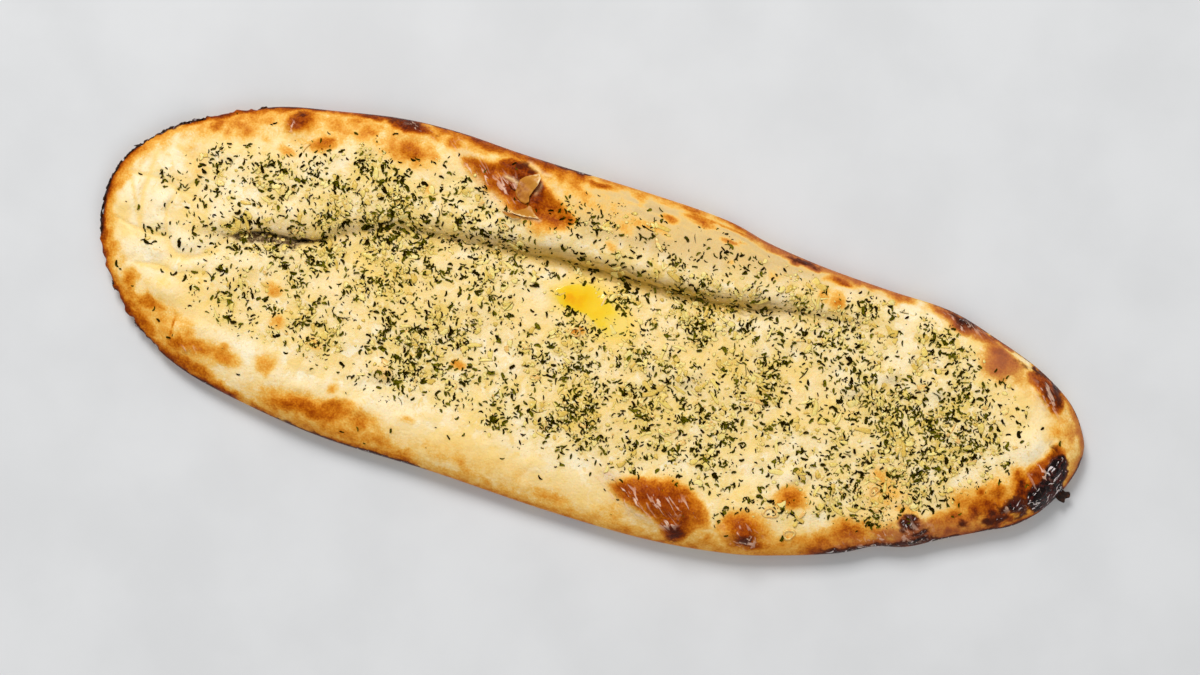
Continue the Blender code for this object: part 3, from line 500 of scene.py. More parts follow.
# Flakes that lie on browned skin, where the rest don't
PLACED_HERBS = [
    (-87, 67.5), (-82.5, 60.5), (-69, 66), (-70, 57), (-57, 73), (-55, 71), (-46, 58), (-52, 57), (-34, 56.5),
    (-34, 55), (-32, 48), (-28, 54), (-27, 55), (-28.5, 62.5), (-24, 54.5), (-101, -70.5), (-94, -67),
    (-89.5, -73), (-223, -25), (84, -56.5), (83, -57.5), (82, -59), (28, -57.5), (188, -25), (190, -29),
    (187, -31), (216, -8), (216.5, -7), (-190, 61), (-183, 65), (-172, 60), (-170.5, 61), (-147, 59),
]
HERB_BASE = 0.55
CLUSTER_SHARE = 0.78
CREASE_WEIGHT = 0.35
CREASE_HERBS = [
    (-190, 0), (-170, 0.2), (-110, 0.2), (-60, 0.5), (-20, 0.5), (10, 0.8), (80, 0.8), (100, 0.3), (120, 0),
]

# Where garlic lies thickest, in the same form
GARLIC_CLUSTERS = [
    (-70, -24, 12, 1.0), (-10, -18, 16, 1.0), (30, -30, 18, 1.0), (160, -5, 22, 1.6), (178, 8, 14, 1.4),
    (110, -45, 14, 1.2), (35, 24, 20, 1.0), (-100, 14, 22, 1.0), (-150, 25, 16, 0.8), (60, 0, 26, 0.9),
    (150, -30, 14, 1.6), (-170, 8, 12, 0.8), (-50, 28, 12, 0.8), (165, 27, 12, 2.0), (155, 40, 12, 1.2),
    (128, 44, 8, 1.4), (16, 48, 7, 1.4), (-110, 40, 14, 0.8), (140, -45, 10, 1.2), (155, -52, 6, 2.0),
    (125, 32, 8, 1.0), (-90, 4, 14, 0.8), (190, -8, 12, 0.8),
]
GARLIC_BASE = 0.45
GARLIC_WITH_HERBS = 0.6
GARLIC_AT_LEFT_END = 0.15

# Thin rings of browned garlic: x, y, half length, half width and turn
GARLIC_RINGS = [
    (103.5, -52.5, 3.3, 2.1, 8), (115, -60, 2.6, 2.0, 40), (-8, 4.5, 2.6, 1.8, 10),
    (148, -29, 2.4, 1.6, 60),
]
RING_THICKNESS = 0.9
RING_STEPS = (28, 8)
RING_WAVE = 0.12
RING_LIFT = 0.25

# The sprinkled part of the top: where it starts and ends along the bread, and over how far it fades
SPRINKLED_X = ((-226.0, 30.0), (214.0, 12.0))
# How wide a bare margin it leaves along the bread: x and width
BARE_LOWER_RIM = [
    (-220, 30), (-180, 24), (-140, 30), (-100, 23), (-60, 24), (0, 24), (60, 23), (100, 16), (150, 6),
    (180, 14), (200, 18), (220, 26),
]
BARE_UPPER_RIM = [
    (-220, 20), (-190, 13), (-150, 12), (-100, 11), (-60, 13), (-20, 10), (20, 4), (140, 3), (180, 7),
    (220, 22),
]
BARE_FADE = 8.0
THIN_ON_ROLL = 0.42
STRAY_MARGIN = 6.0
CLUSTER_SPREAD = 0.6
FULL_WEIGHT = 3.5
LEAST_WEIGHT = 0.01
STRAY_SHARE = 0.05
# Browned skin, to which toppings don't stick: from which depth of browning, and over how much of it
BARE_SKIN = (0.34, 0.2)
HERBS_ON_BARE_SKIN = 0.15
# How far from the middle places are drawn, in x and y, and how many at once
DRAWN_REACH = (238, 80)
DRAWN_AT_ONCE = 4000

# Herb flakes: how many, and from and to in length, and in width as a share of it
HERB_DUST = (2600, (0.5, 1.0), (0.5, 1.0))
HERB_SMALL = (6500, (1.1, 2.8), (0.28, 0.54))
HERB_LARGE = (460, (2.3, 3.8), (0.36, 0.6))
HERB_STEMS = (70, (4.0, 7.0), (0.05, 0.09))
HERB_THICKNESS = 0.16
# How uneven a flake's edge is, and from and to in how it bows sideways, curls across and bends along
FLAKE_JAG = (0.65, 1.2)
FLAKE_NARROWING = (0.55, 0.95)
FLAKE_SHIFT = 0.1
FLAKE_BOW = (-0.22, 0.22)
FLAKE_CURL = (-0.4, 0.9)
FLAKE_BEND = (-0.3, 0.5)
FLAKE_TILT = 12.0
FLAKE_SHORTNESS = 1.5
# How many lie in clumps, how many make a clump, and how far a clump reaches
CLUMPED = (0.52, 7, 2.5)
LOOSE = (0.2, 3, 3.0)
CLUMP_REACH = (0.4, 1.4)

# Garlic: how many, and from and to in length, and in width as a share of it
GARLIC_BITS = (1800, (0.9, 2.6), (0.5, 0.95))
GARLIC_CHIPS = (500, (2.2, 5.4), (0.4, 0.8))
GARLIC_SLIVERS = (200, (3.0, 9.0), (0.16, 0.36))
GARLIC_THICKNESS = 0.75
GARLIC_HEIGHT = (0.55, 0.85)
# Corners round a bit of garlic: how far they stand out and how many there are
GARLIC_CORNERS = [(0.17, 3), (0.12, 5)]
GARLIC_ROUGHNESS = 0.06
GARLIC_BOW = 0.5
GARLIC_TILT = 8.0
GARLIC_SHORTNESS = 1.6
GARLIC_BLUNTNESS = 0.75
GARLIC_LIFT = 0.12
SEED = 20

# Each kind: its numbers from above, how it clumps, then a flake's steps along and points across it and its
# lift, or how finely a bit of garlic is divided
HERB_KINDS = {
    "herb_dust": (HERB_DUST, CLUMPED, 1, 2, 0.05),
    "herb_flakes": (HERB_SMALL, CLUMPED, 3, 2, 0.12),
    "herb_leaves": (HERB_LARGE, LOOSE, 4, 3, 0.2),
    "herb_stems": (HERB_STEMS, LOOSE, 5, 2, 0.25),
}
GARLIC_KINDS = {
    "garlic_bits": (GARLIC_BITS, CLUMPED, 1),
    "garlic_chips": (GARLIC_CHIPS, LOOSE, 2),
    "garlic_slivers": (GARLIC_SLIVERS, LOOSE, 2),
}

# The stains that herbs and garlic leave round them in the buttered dough, with painted shade round the foot
# of the garlic: reach and strength
HERB_STAIN = (2.6, 3.4)
GARLIC_STAIN_AND_SHADE = (2.0, 4.0)
STAIN_RANGE = ((-250, 250), (-90, 90))

# Shards of scorched crust along the rim of the left end, with patches of the rim left bare of them
RIM_SHARD_COUNT = 230
RIM_SHARD_PATCHES = (12, 60)
RIM_SHARDS_ABOVE = -0.15
RIM_SHARD_SIZE = ((1.0, 4.6), (0.5, 1.2), (0.8, 2.0))
RIM_SHARD_FROM_X = (-178.0, -208.0)
RIM_SHARD_ROUGHNESS = (0.65, 1.2)
RIM_SHARD_LEAN = 0.18
RIM_SHARD_OUTWARD = (-0.8, 0.3)
RIM_SHARD_HEIGHT = (4.5, 7.5)

# Camera: the photograph's field, its turn, and what lies under the middle of the picture
FIELD_WIDTH = 567.6
CAMERA_TURN = 15.7
VIEW_CENTRE = (4.2, 5.3, 10.0)
CAMERA_DISTANCE = 1250.0
SENSOR_WIDTH = 36.0
NEAREST_SEEN = 0.05

# Light: each lamp's place along the photograph's right and up directions and its height in metres, its
# size and power, and the strength of the light all round
LAMPS = {"key": ((-0.7, 2.3, 2.5), 1.3, 93), "fill": ((1.0, -2.1, 2.6), 2.5, 28)}
WORLD_LIGHT = 0.36
FLOOR_SIZE = 8


def smooth_step(value):
    t = np.clip(value, 0, 1)
    return t * t * (3 - 2 * t)


def between(x, start, end):
    """1 between a start and an end and 0 beyond them: each has its x and how far it fades inwards."""
    return smooth_step((x - start[0]) / start[1]) * smooth_step((end[0] - x) / end[1])


def strongest(x, fields):
    """The largest of several fields at each point, and 0 where none is more."""
    result = np.zeros(x.shape)
    for field in fields:
        result = np.maximum(result, field)
    return result


def closed_curve(points, steps):
    """Points on a smooth closed curve through the given ones."""
    p = np.array(points, float)
    before, after, beyond = np.roll(p, 1, 0), np.roll(p, -1, 0), np.roll(p, -2, 0)
    curve = []
    for t in np.arange(steps) / steps:
        curve.append(0.5 * (2 * p + (after - before) * t
                            + (2 * before - 5 * p + 4 * after - beyond) * t ** 2
                            + (3 * p - before - 3 * after + beyond) * t ** 3))
    return np.stack(curve, 1).reshape(-1, 2)


def distance_to_line(x, y, line):
    """Distance of each point from a line of straight stretches."""
    nearest = np.full(x.shape, np.inf)
    for (ax, ay), (bx, by) in zip(line[:-1], line[1:]):
        dx, dy = bx - ax, by - ay
        along = np.clip(((x - ax) * dx + (y - ay) * dy) / (dx * dx + dy * dy), 0, 1)
        nearest = np.minimum(nearest, np.hypot(x - ax - along * dx, y - ay - along * dy))
    return nearest


def near_line(x, y, line, width):
    """1 on a line of straight stretches, fading softly to both sides."""
    return np.exp(-(distance_to_line(x, y, line) / width) ** 2)


def subdivided(outline, steps):
    """A closed outline with its corners kept and steps points on each side."""
    p = np.array(outline, float)
    after = np.roll(p, -1, 0)
    return np.vstack([a + (b - a) * t for a, b in zip(p, after) for t in np.arange(steps) / steps])


def closed_loop(edge):
    return np.vstack([edge, edge[:1]])


def inside_distance(x, y, edge):
    """How far each point is inside a closed outline; less than 0 outside."""
    loop = closed_loop(edge)
    crossings = np.zeros(x.shape, int)
    for (ax, ay), (bx, by) in zip(loop[:-1], loop[1:]):
        if ay == by:
            continue
        spans = (ay > y) != (by > y)
        crossings += spans & (x < ax + (y - ay) * (bx - ax) / (by - ay))
    distance = distance_to_line(x, y, loop)
    return np.where(crossings % 2 == 1, distance, -distance)


EDGE = closed_curve(OUTLINE, CURVE_STEPS)
EDGE_LOOP = closed_loop(EDGE)
RIGHT_TIP = int(EDGE[:, 0].argmax())
LEFT_TIP = int(EDGE[:, 0].argmin())
UPPER_EDGE = EDGE[RIGHT_TIP:LEFT_TIP + 1][::-1]
LOWER_EDGE = np.vstack([EDGE[LEFT_TIP:], EDGE[:RIGHT_TIP + 1]])
BUTTER_EDGE = closed_curve(BUTTER_POOL, 6)
BURST_BARE = closed_curve(BURST_OUTLINE, 3)
TIP_CHAR_EDGE = closed_curve(TIP_CHAR_OUTLINE, 3)
CRUMB_EDGE = closed_curve(CRUMB_OUTLINE, 3)
SHAPED_EDGES = [(closed_curve(outline, 3), strength, fade) for outline, strength, fade in SHAPED_PATCHES]


def edge_heights(x):
    """The lower and upper y of the outline at each x."""
    low = np.interp(x, LOWER_EDGE[:, 0], LOWER_EDGE[:, 1])
    high = np.interp(x, UPPER_EDGE[:, 0], UPPER_EDGE[:, 1])
    return low, high


def along_line(x, line):
    """The second value of a line of pairs at each x."""
    pairs = np.array(line, float)
    return np.interp(x, pairs[:, 0], pairs[:, 1])


def soft_noise(x, y, size, seed):
    """Smooth noise from -1 to 1 that changes over about size millimetres."""
    cells = 256
    grid = np.random.default_rng(seed).uniform(-1, 1, (cells, cells))
    u, v = x / size + 100.5, y / size + 100.5
    i, j = np.floor(u).astype(int), np.floor(v).astype(int)
    fu, fv = smooth_step(u - i), smooth_step(v - j)
    near = grid[i % cells, j % cells] * (1 - fu) + grid[(i + 1) % cells, j % cells] * fu
    far = grid[i % cells, (j + 1) % cells] * (1 - fu) + grid[(i + 1) % cells, (j + 1) % cells] * fu
    return near * (1 - fv) + far * fv


def layered_noise(x, y, layers):
    return sum(strength * soft_noise(x, y, size, seed) for strength, size, seed in layers)


# The form of the bread

def above_crease(x, y):
    return y - along_line(x, CREASE)


def lip_height(across):
    """The folded lip: steep at its crease, rounding over to a crest, then falling slowly."""
    share = np.clip(across / LIP_WIDTH, 0, 1)
    rounded = LIP_RISE * (1 - (1 - share) ** LIP_STEEPNESS)
    return rounded - LIP_FALL * np.maximum(across - LIP_WIDTH, 0)


def plateau(x, y):
    """Height of the dough away from the rim: flat, and folded along the crease."""
    across = above_crease(x, y)
    pillow = PILLOW_RISE * (1 - np.exp(np.minimum(across, 0) / PILLOW_WIDTH))
    folded = VALLEY_HEIGHT + lip_height(across) + pillow
    left = smooth_step((x - LEFT_END_FROM) / (LEFT_END_TO - LEFT_END_FROM))
    flat = FLAT_HEIGHT + (LEFT_END_HEIGHT - FLAT_HEIGHT) * left
    return flat + (folded - flat) * along_line(x, FOLD_STRENGTH)


def radius_in_mound(x, y, mound):
    """Distance from an ellipse's middle, as a share of its size."""
    turn = math.radians(mound[4])
    dx, dy = x - mound[0], y - mound[1]
    along = dx * math.cos(turn) + dy * math.sin(turn)
    across = dy * math.cos(turn) - dx * math.sin(turn)
    return np.hypot(along / mound[2], across / mound[3])


def mounds(x, y, blisters):
    height = np.zeros(x.shape)
    for blister in blisters:
        height += blister[5] * smooth_step(BLISTER_REACH - radius_in_mound(x, y, blister))
    return height


def relief(x, y):
    """Lumps, wrinkles and the burst blister, as heights above the plateau."""
    height = UNEVENNESS * (np.sin(x / 31 + 1.3) * np.cos(y / 23 + 0.4) + 0.6 * np.sin(x / 17 - y / 19))
    height += mounds(x, y, BLISTERS)
    for line, depth, width in WRINKLES:
        height -= depth * near_line(x, y, line, width)
    radius = radius_in_mound(x, y, BURST)
    height -= BURST_DEPTH * smooth_step((1 - radius) * 2)
    height += BURST_EDGE * np.exp(-((radius - 1) / BURST_EDGE_WIDTH) ** 2)
    return height


def bubbles(x, y):
    """Small domes scattered over the baked surface."""
    rng = np.random.default_rng(SEED)
    height = np.zeros(x.shape)
    for _ in range(BUBBLE_COUNT):
        bx, by = (rng.uniform(-reach, reach) for reach in DRAWN_REACH)
        radius = rng.uniform(*BUBBLE_RADIUS)
        stretch = rng.uniform(*BUBBLE_STRETCH)
        rise = radius * BUBBLE_HEIGHT * rng.uniform(*BUBBLE_RISE)
        near = (np.abs(x - bx) < radius * stretch) & (np.abs(y - by) < radius)
        r2 = ((x[near] - bx) / (radius * stretch)) ** 2 + ((y[near] - by) / radius) ** 2
        height[near] += rise * np.clip(1 - r2, 0, 1) ** 1.5
    return height


def torn_edge_share(x, y):
    """1 on the pale torn edges of the burst blister."""
    return strongest(x, (rise * near_line(x, y, line, TORN_EDGE_WIDTH) for line, rise in TORN_EDGES))


def slit_share(x, y):
    """How near each point is to the gape of the fold, from 0 to 1 on its line."""
    return along_line(x, SLIT_GAPE) * near_line(x, y, SLIT, SLIT_WIDTH)


def crumb_share(x, y):
    """1 on the torn crumb that shows under the lip of the gape."""
    ragged = layered_noise(x, y, CRUMB_EDGE_NOISE)
    return smooth_step((inside_distance(x, y, CRUMB_EDGE) + ragged) / CRUMB_FADE + 0.4)


def along_seam(x, y):
    """Distance above the crooked line where the lip meets the dough."""
    return above_crease(x, y) + layered_noise(x, y, SEAM_NOISE)


def lip_line_share(x, y):
    """Depth of the fine lines along the foot of the lip."""
    across = along_seam(x, y)
    lines = strongest(x, (depth * np.exp(-((across - offset) / width) ** 2)
                          for offset, depth, width in LIP_LINES))
    return lines * smooth_step(1.4 * along_line(x, FOLD_STRENGTH) - 0.5)


def fine_relief(x, y):
    """Unevenness, bubbles, torn and cracked crust that are finer than the solid's faces."""
    height = bubbles(x, y) + mounds(x, y, SMALL_BLISTERS) + TORN_EDGE_RISE * torn_edge_share(x, y)
    height += CRINKLE_RISE * patch_field(x, y, CRINKLED_AND_GLINTED) * soft_noise(x + y / 2, y - x / 2, 2.3, 48)
    for line, depth, width in FINE_FOLDS:
        height -= depth * near_line(x, y, line, width)
    height -= lip_line_share(x, y)
    for index, (size, rise) in enumerate(FINE_UNEVENNESS):
        height += rise * soft_noise(x, y, size, index)
    height += char_field(x, y) * layered_noise(x, y, CRACKLE_NOISE)
    height += crumb_share(x, y) * (layered_noise(x, y, CRUMB_NOISE) - CRUMB_DEPTH)
    return height - SLIT_DEPTH * slit_share(x, y)


def rounding(depth, radius):
    """0 at the rim and 1 from radius inwards, as a quarter of an ellipse."""
    inward = np.clip(depth / radius, 0, 1)
    return np.sqrt(np.clip(1 - (1 - inward) ** 2, 0, 1))


def top_height(x, y, depth):
    height = plateau(x, y) + relief(x, y) + fine_relief(x, y)
    return RIM_HEIGHT + (height - RIM_HEIGHT) * rounding(depth, RIM_ROUNDING)


def underside_height(x, y, depth):
    lift = UNDERSIDE_LIFT * smooth_step(radius_in_mound(x, y, FLAT_MIDDLE) - 1)
    for low_x, low_y in LOW_PLACES:
        lift *= 1 - np.exp(-((x - low_x) ** 2 + (y - low_y) ** 2) / LOW_PLACE_REACH ** 2)
    return lift + (RIM_HEIGHT - lift) * (1 - rounding(depth, UNDERSIDE_ROUNDING))


# How the bread is browned, buttered and sprinkled

def soft_patch(x, y, patch, fall, sharpness):
    """1 in the middle of an ellipse, falling off to its outside."""
    return np.exp(-fall * radius_in_mound(x, y, patch) ** sharpness)


def patch_field(x, y, patches, sharpness=2.5):
    """The depth that soft ragged patches give each point. They are two thirds deep at their size."""
    wx = x + layered_noise(x, y, PATCH_NOISE_X)
    wy = y + layered_noise(x, y, PATCH_NOISE_Y)
    return strongest(x, (patch[5] * soft_patch(wx, wy, patch, 0.42, sharpness) for patch in patches))


def band_field(x, y, depth, bands):
    """The depth of browning along stretches of the rim."""
    low, high = edge_heights(x)
    upper = y > (low + high) / 2
    uneven = 1 + layered_noise(x, y, BAND_WIDTH_NOISE)
    patchy = 1 + layered_noise(x, y, BAND_DEPTH_NOISE)

    def band(start, end, side, width, strength):
        inside = between(x, (start - BAND_FADE / 2, BAND_FADE), (end + BAND_FADE / 2, BAND_FADE))
        on_side = upper if side == "upper" else ~upper
        return strength * patchy * inside * on_side * np.exp(-0.5 * (depth * uneven / width) ** 2.4)

    return strongest(x, (band(*values) for values in bands))


def line_field(x, y, lines):
    """The depth that soft lines give each point."""
    ragged = layered_noise(x, y, LINE_NOISE)
    return strongest(x, (strength * np.exp(-((distance_to_line(x, y, line) + ragged) / width) ** 2)
                         for line, strength, width in lines))


def shape_field(x, y, edge, fade):
    """1 inside an outline and 0 outside, with a soft ragged edge."""
    return smooth_step((inside_distance(x, y, edge) + layered_noise(x, y, SHAPE_NOISE)) / fade + 0.5)


def halo(inside, depth, fade):
    """Browning that fades away outside an outline."""
    return depth * np.exp(np.minimum(inside, 0) / fade)


def char_field(x, y):
    return np.maximum(patch_field(x, y, CHAR_PATCHES, 1.9), shape_field(x, y, TIP_CHAR_EDGE, 3.6))


def streaks(x, depth):
    """Noise drawn out along the rim."""
    return sum(strength * soft_noise(x / along, depth / across, 1, seed)
               for strength, along, across, seed in STREAKS)


def with_golden(x, y, field):
    """Adds the broad golden areas and their speckles to a field of browning."""
    golden = patch_field(x, y, GOLDEN_AREAS)
    speckles = 1.1 * np.maximum(soft_noise(x, y, 4.5, 58), 0) + 0.4 * soft_noise(x, y, 9, 59)
    speckled = golden * (1 + np.clip((golden / 0.35) ** 2, 0, 1) * speckles)
    return np.maximum(field, speckled + 0.2 * field)


def with_shapes(x, y, field):
    """Adds the browned blisters that have an outline of their own."""
    for edge, strength, fade in SHAPED_EDGES:
        inside = inside_distance(x, y, edge)
        inner = EDGE_LIGHTER * smooth_step(1 - inside / EDGE_LIGHTER_WIDTH)
        field = np.maximum(field, (strength - inner) * shape_field(x, y, edge, fade))
        field = np.maximum(field, halo(inside, *SHAPE_HALO))
    field = field - DOME_LIGHT_DEPTH * soft_patch(x, y, DOME_LIGHT, 1, 4)
    return np.maximum(field, DOME_DARK_DEPTH * soft_patch(x, y, DOME_DARK, 0.6, 3))


def with_burst(x, y, field):
    """Adds the bare skin of the burst blister."""
    inside = inside_distance(x, y, BURST_BARE)
    burst = BURST_DEPTH_OF_BROWN + 0.03 * smooth_step((-44 - x) / 6) + 0.05 * soft_noise(x, y, 5, 55)
    burst -= BURST_RIM[0] * smooth_step(1 - inside / BURST_RIM[1])
    burst -= patch_field(x, y, BURST_LIGHTER)
    for patch, depth in BURST_DARKER:
        burst = np.maximum(burst, depth * soft_patch(x, y, patch, 0.5, 2.5))
    field = np.maximum(field, halo(inside, *BURST_HALO))
    return np.maximum(field, burst * shape_field(x, y, BURST_BARE, 3.4))


def brown_field(x, y, depth):
    """The depth of browning of the top, from 0 to 1."""
    field = np.maximum(patch_field(x, y, BROWN_PATCHES), band_field(x, y, depth, RIM_BANDS))
    field = with_golden(x, y, field)
    roll = between(x, *STREAKED_X) * (y > STREAKED_ABOVE_Y) * smooth_step((17 - depth) / 8)
    field += roll * STREAK_DEPTH * streaks(x, depth)
    field *= 1 - PALE_RIM_PALER * near_line(x, y, PALE_RIM, PALE_RIM_WIDTH)
    field = np.maximum(field, line_field(x, y, BROWN_LINES))
    return with_burst(x, y, with_shapes(x, y, field))


def sprinkled_share(x, y, stray):
    """1 where the topping lies and 0 on the bare ends and rims."""
    low, high = edge_heights(x)
    from_low = smooth_step((y - low - along_line(x, BARE_LOWER_RIM)) / BARE_FADE)
    from_high = smooth_step((high - y - along_line(x, BARE_UPPER_RIM)) / BARE_FADE)
    roll = smooth_step((x + 30) / 20) * smooth_step((above_crease(x, y) - 8) / 6)
    sprinkled = from_low * from_high * between(x, *SPRINKLED_X) * (1 - THIN_ON_ROLL * roll)
    return np.maximum(sprinkled, stray * (np.minimum(y - low, high - y) > STRAY_MARGIN))


def cluster_field(x, y, clusters, base):
    field = np.full(x.shape, float(base))
    for cx, cy, radius, weight in clusters:
        field += weight * np.exp(-((x - cx) ** 2 + (y - cy) ** 2) / (2 * (radius * CLUSTER_SPREAD) ** 2))
    return field


def on_pale_dough(x, y):
    """1 on pale dough and 0 on browned skin, to which toppings don't stick."""
    brown = brown_field(x, y, distance_to_line(x, y, EDGE_LOOP))
    return 1 - smooth_step((brown - BARE_SKIN[0]) / BARE_SKIN[1])


def herb_weight(x, y):
    patchy = np.clip(0.8 + layered_noise(x, y, HERB_NOISE), 0.15, 2)
    crease = CREASE_WEIGHT * np.exp(-((above_crease(x, y) + 2) / 4) ** 2) * along_line(x, CREASE_HERBS)
    field = CLUSTER_SHARE * cluster_field(x, y, HERB_CLUSTERS, 0) + HERB_BASE + crease
    sticking = HERBS_ON_BARE_SKIN + (1 - HERBS_ON_BARE_SKIN) * on_pale_dough(x, y)
    return field * patchy * sprinkled_share(x, y, STRAY_SHARE) * sticking


def garlic_weight(x, y):
    with_herbs = GARLIC_WITH_HERBS * cluster_field(x, y, HERB_CLUSTERS, 0)
    field = cluster_field(x, y, GARLIC_CLUSTERS, GARLIC_BASE) + with_herbs
    left_end = GARLIC_AT_LEFT_END + (1 - GARLIC_AT_LEFT_END) * smooth_step((x + 200) / 45)
    return field * left_end * sprinkled_share(x, y, 0) * on_pale_dough(x, y)


# Meshes

def spread(share, evenness):
    """From 1 to -1 as share goes from 0 to 1, closer together towards both ends."""
    return (1 - evenness) * np.cos(np.pi * share) + evenness * (1 - 2 * share)


def mesh_object(name, points_mm, faces):
    mesh = bpy.data.meshes.new(name)
    mesh.from_pydata((np.asarray(points_mm) * METRES_PER_MM).tolist(), [], faces)
    mesh.validate()
    mesh.shade_smooth()
    obj = bpy.data.objects.new(name, mesh)
    bpy.context.scene.collection.objects.link(obj)
    return obj


def set_attribute(obj, name, values):
    attribute = obj.data.attributes.new(name, "FLOAT", "POINT")
    attribute.data.foreach_set("value", np.ascontiguousarray(values, dtype=np.float32))


def band_faces(first, second, around):
    """Quads between two rings of points, by the numbers of their first points."""
    steps = [(j, (j + 1) % around) for j in range(around)]
    return [(first + j, second + j, second + k, first + k) for j, k in steps]


def ring_faces(rings, around):
    """Quads between rings of points, and a fan at each tip."""
    faces = []
    for i in range(rings - 1):
        faces += band_faces(i * around, (i + 1) * around, around)
    first_tip, last = rings * around, (rings - 1) * around
    for j in range(around):
        k = (j + 1) % around
        faces.append((first_tip, j, k))
        faces.append((first_tip + 1, last + k, last + j))
    return faces


def make_bread(herbs, garlic):
    around = TOP_STEPS + UNDERSIDE_STEPS
    turn = np.arange(around)
    on_top = turn <= TOP_STEPS
    share = np.where(on_top, turn / TOP_STEPS, (around - turn) / UNDERSIDE_STEPS)
    tips = EDGE[[RIGHT_TIP, LEFT_TIP]]
    middle, half_length = (tips[0, 0] + tips[1, 0]) / 2, (tips[0, 0] - tips[1, 0]) / 2
    ring_x = middle + half_length * spread(np.arange(1, RINGS) / RINGS, EVENNESS_ALONG)
    low, high = edge_heights(ring_x)
    ring_y = ((low + high) / 2)[:, None] + ((high - low) / 2)[:, None] * spread(share, EVENNESS_ACROSS)[None]
    x = np.append(np.repeat(ring_x, around), tips[:, 0])
    y = np.append(ring_y.ravel(), tips[:, 1])
    top = np.append(np.tile(on_top, RINGS - 1), [True, True])
    depth = distance_to_line(x, y, EDGE_LOOP)
    z = np.where(top, top_height(x, y, depth), underside_height(x, y, depth))
    points = np.stack([x, y, z], 1) + rim_push(x, y, depth)
    points[:, 1] -= lip_push(x, y) * top
    bread = mesh_object("bread", points, ring_faces(RINGS - 1, around))
    colour_bread(bread, x, y, depth, top, herbs, garlic)
    return bread


def rim_push(x, y, depth):
    """Ragged scorched edges stand a little out of the outline."""
    charred = band_field(x, y, depth, RIM_CHAR[:2])
    out = charred * np.exp(-(depth / RIM_PUSH_REACH) ** 2) * layered_noise(x, y, RIM_NOISE)
    half_length, half_width = RIM_PUSH_FROM
    reach = np.hypot(x / half_length, y / half_width) + 1e-6
    return np.stack([out * x / half_length / reach, out * y / half_width / reach, np.zeros(x.shape)], 1)


def lip_push(x, y):
    """How far the lip over the slit leans out over it."""
    away, above = distance_to_line(x, y, SLIT), above_crease(x, y) > 0
    near, far = SLIT_LIP_REACH
    return SLIT_LIP * above * smooth_step(away / near) * np.exp(-(away / far) ** 2)


def stain_field(x, y, places, reach, strength):
    """How much of a stain, and round garlic of painted shade, pieces leave round them, from 0 to 1."""
    bins = [int(high - low) for low, high in STAIN_RANGE]
    grid = np.histogram2d(places[:, 0], places[:, 1], bins=bins, range=STAIN_RANGE)[0]
    steps = np.arange(-3 * reach, 3 * reach + 1)
    kernel = np.exp(-(steps / reach) ** 2)
    kernel /= kernel.sum()
    for axis in (0, 1):
        grid = np.apply_along_axis(np.convolve, axis, grid, kernel, mode="same")
    u = np.clip(x - STAIN_RANGE[0][0] - 0.5, 0, bins[0] - 2)
    v = np.clip(y - STAIN_RANGE[1][0] - 0.5, 0, bins[1] - 2)
    i, j = u.astype(int), v.astype(int)
    fu, fv = u - i, v - j
    near = grid[i, j] * (1 - fu) + grid[i + 1, j] * fu
    far = grid[i, j + 1] * (1 - fu) + grid[i + 1, j + 1] * fu
    return 1 - np.exp(-strength * (near * (1 - fv) + far * fv))


def seen_from_above(x, y, herbs, garlic):
    """The attributes that only the top of the bread has, by name."""
    torn, slit_shade, across = torn_edge_share(x, y), slit_share(x, y), above_crease(x, y)
    crease = np.exp(-(np.where(across > 0, across / 5.5, across / 3)) ** 2)
    creases = [0.5 * lip_line_share(x, y), patch_field(x, y, YELLOW_SPOTS)]
    for line, _, width in WRINKLES + FINE_FOLDS[:-2]:
        creases.append(0.7 * near_line(x, y, line, min(width, 1.4)))
    return {
        "herb_stain": stain_field(x, y, herbs, *HERB_STAIN),
        "garlic_stain_and_shade": stain_field(x, y, garlic, *GARLIC_STAIN_AND_SHADE),
        "butter": smooth_step(inside_distance(x, y, BUTTER_EDGE) / 9 + 0.75),
        "crumb": np.maximum(crumb_share(x, y), slit_shade),
        # painted shade along the gape of the fold
        "slit_shade": slit_shade,
        "fold_shade": crease * along_line(x, FOLD_STRENGTH),
        # painted shade: the outer side of the roll, darker away from its crease
        "roll": between(x, (-60, 50), (165, 40)) * smooth_step((across - 9) / 14),
        "seam_shade_share": along_line(x, SEAM_SHADE_STRENGTH),
        # pale puffs, painted light on shaded slopes of the left end, and the torn edges
        "pale": np.maximum(patch_field(x, y, PALE_SPOTS_AND_PAINTED_LIGHT), torn),
        "crinkled_and_glinted": patch_field(x, y, CRINKLED_AND_GLINTED),
        "rosy_sheen": patch_field(x, y, ROSY_SHEEN),
        "torn": torn,
        "yellow": strongest(x, creases),
    }


def colour_bread(bread, x, y, depth, top, herbs, garlic):
    under = 0.42 + layered_noise(x, y, UNDERSIDE_NOISE)
    set_attribute(bread, "brown", np.where(top, brown_field(x, y, depth), under))
    in_places = np.clip(0.75 + 0.9 * soft_noise(x, y, *RIM_SHARD_PATCHES), 0.1, 1)
    char = np.maximum(char_field(x, y), band_field(x, y, depth, RIM_CHAR) * in_places)
    set_attribute(bread, "char", np.where(top, char, 0.5 * char))
    set_attribute(bread, "seam", np.clip(along_seam(x, y) / SEAM_SCALE, -1, 1))
    for name, values in seen_from_above(x, y, herbs, garlic).items():
        set_attribute(bread, name, values * top)


def surface_tree(obj):
    mesh = obj.data
    return BVHTree.FromPolygons([v.co for v in mesh.vertices], [p.vertices for p in mesh.polygons])


def drop_on(tree, x, y):
    """Where a piece dropped at x, y comes to lie, in millimetres, and the surface's normal there."""
    place, normal, _, _ = tree.ray_cast(Vector((x, y, 100)) * METRES_PER_MM, Vector((0, 0, -1)))
    if place is None:
        return None, None
    return np.array(place) / METRES_PER_MM, normal


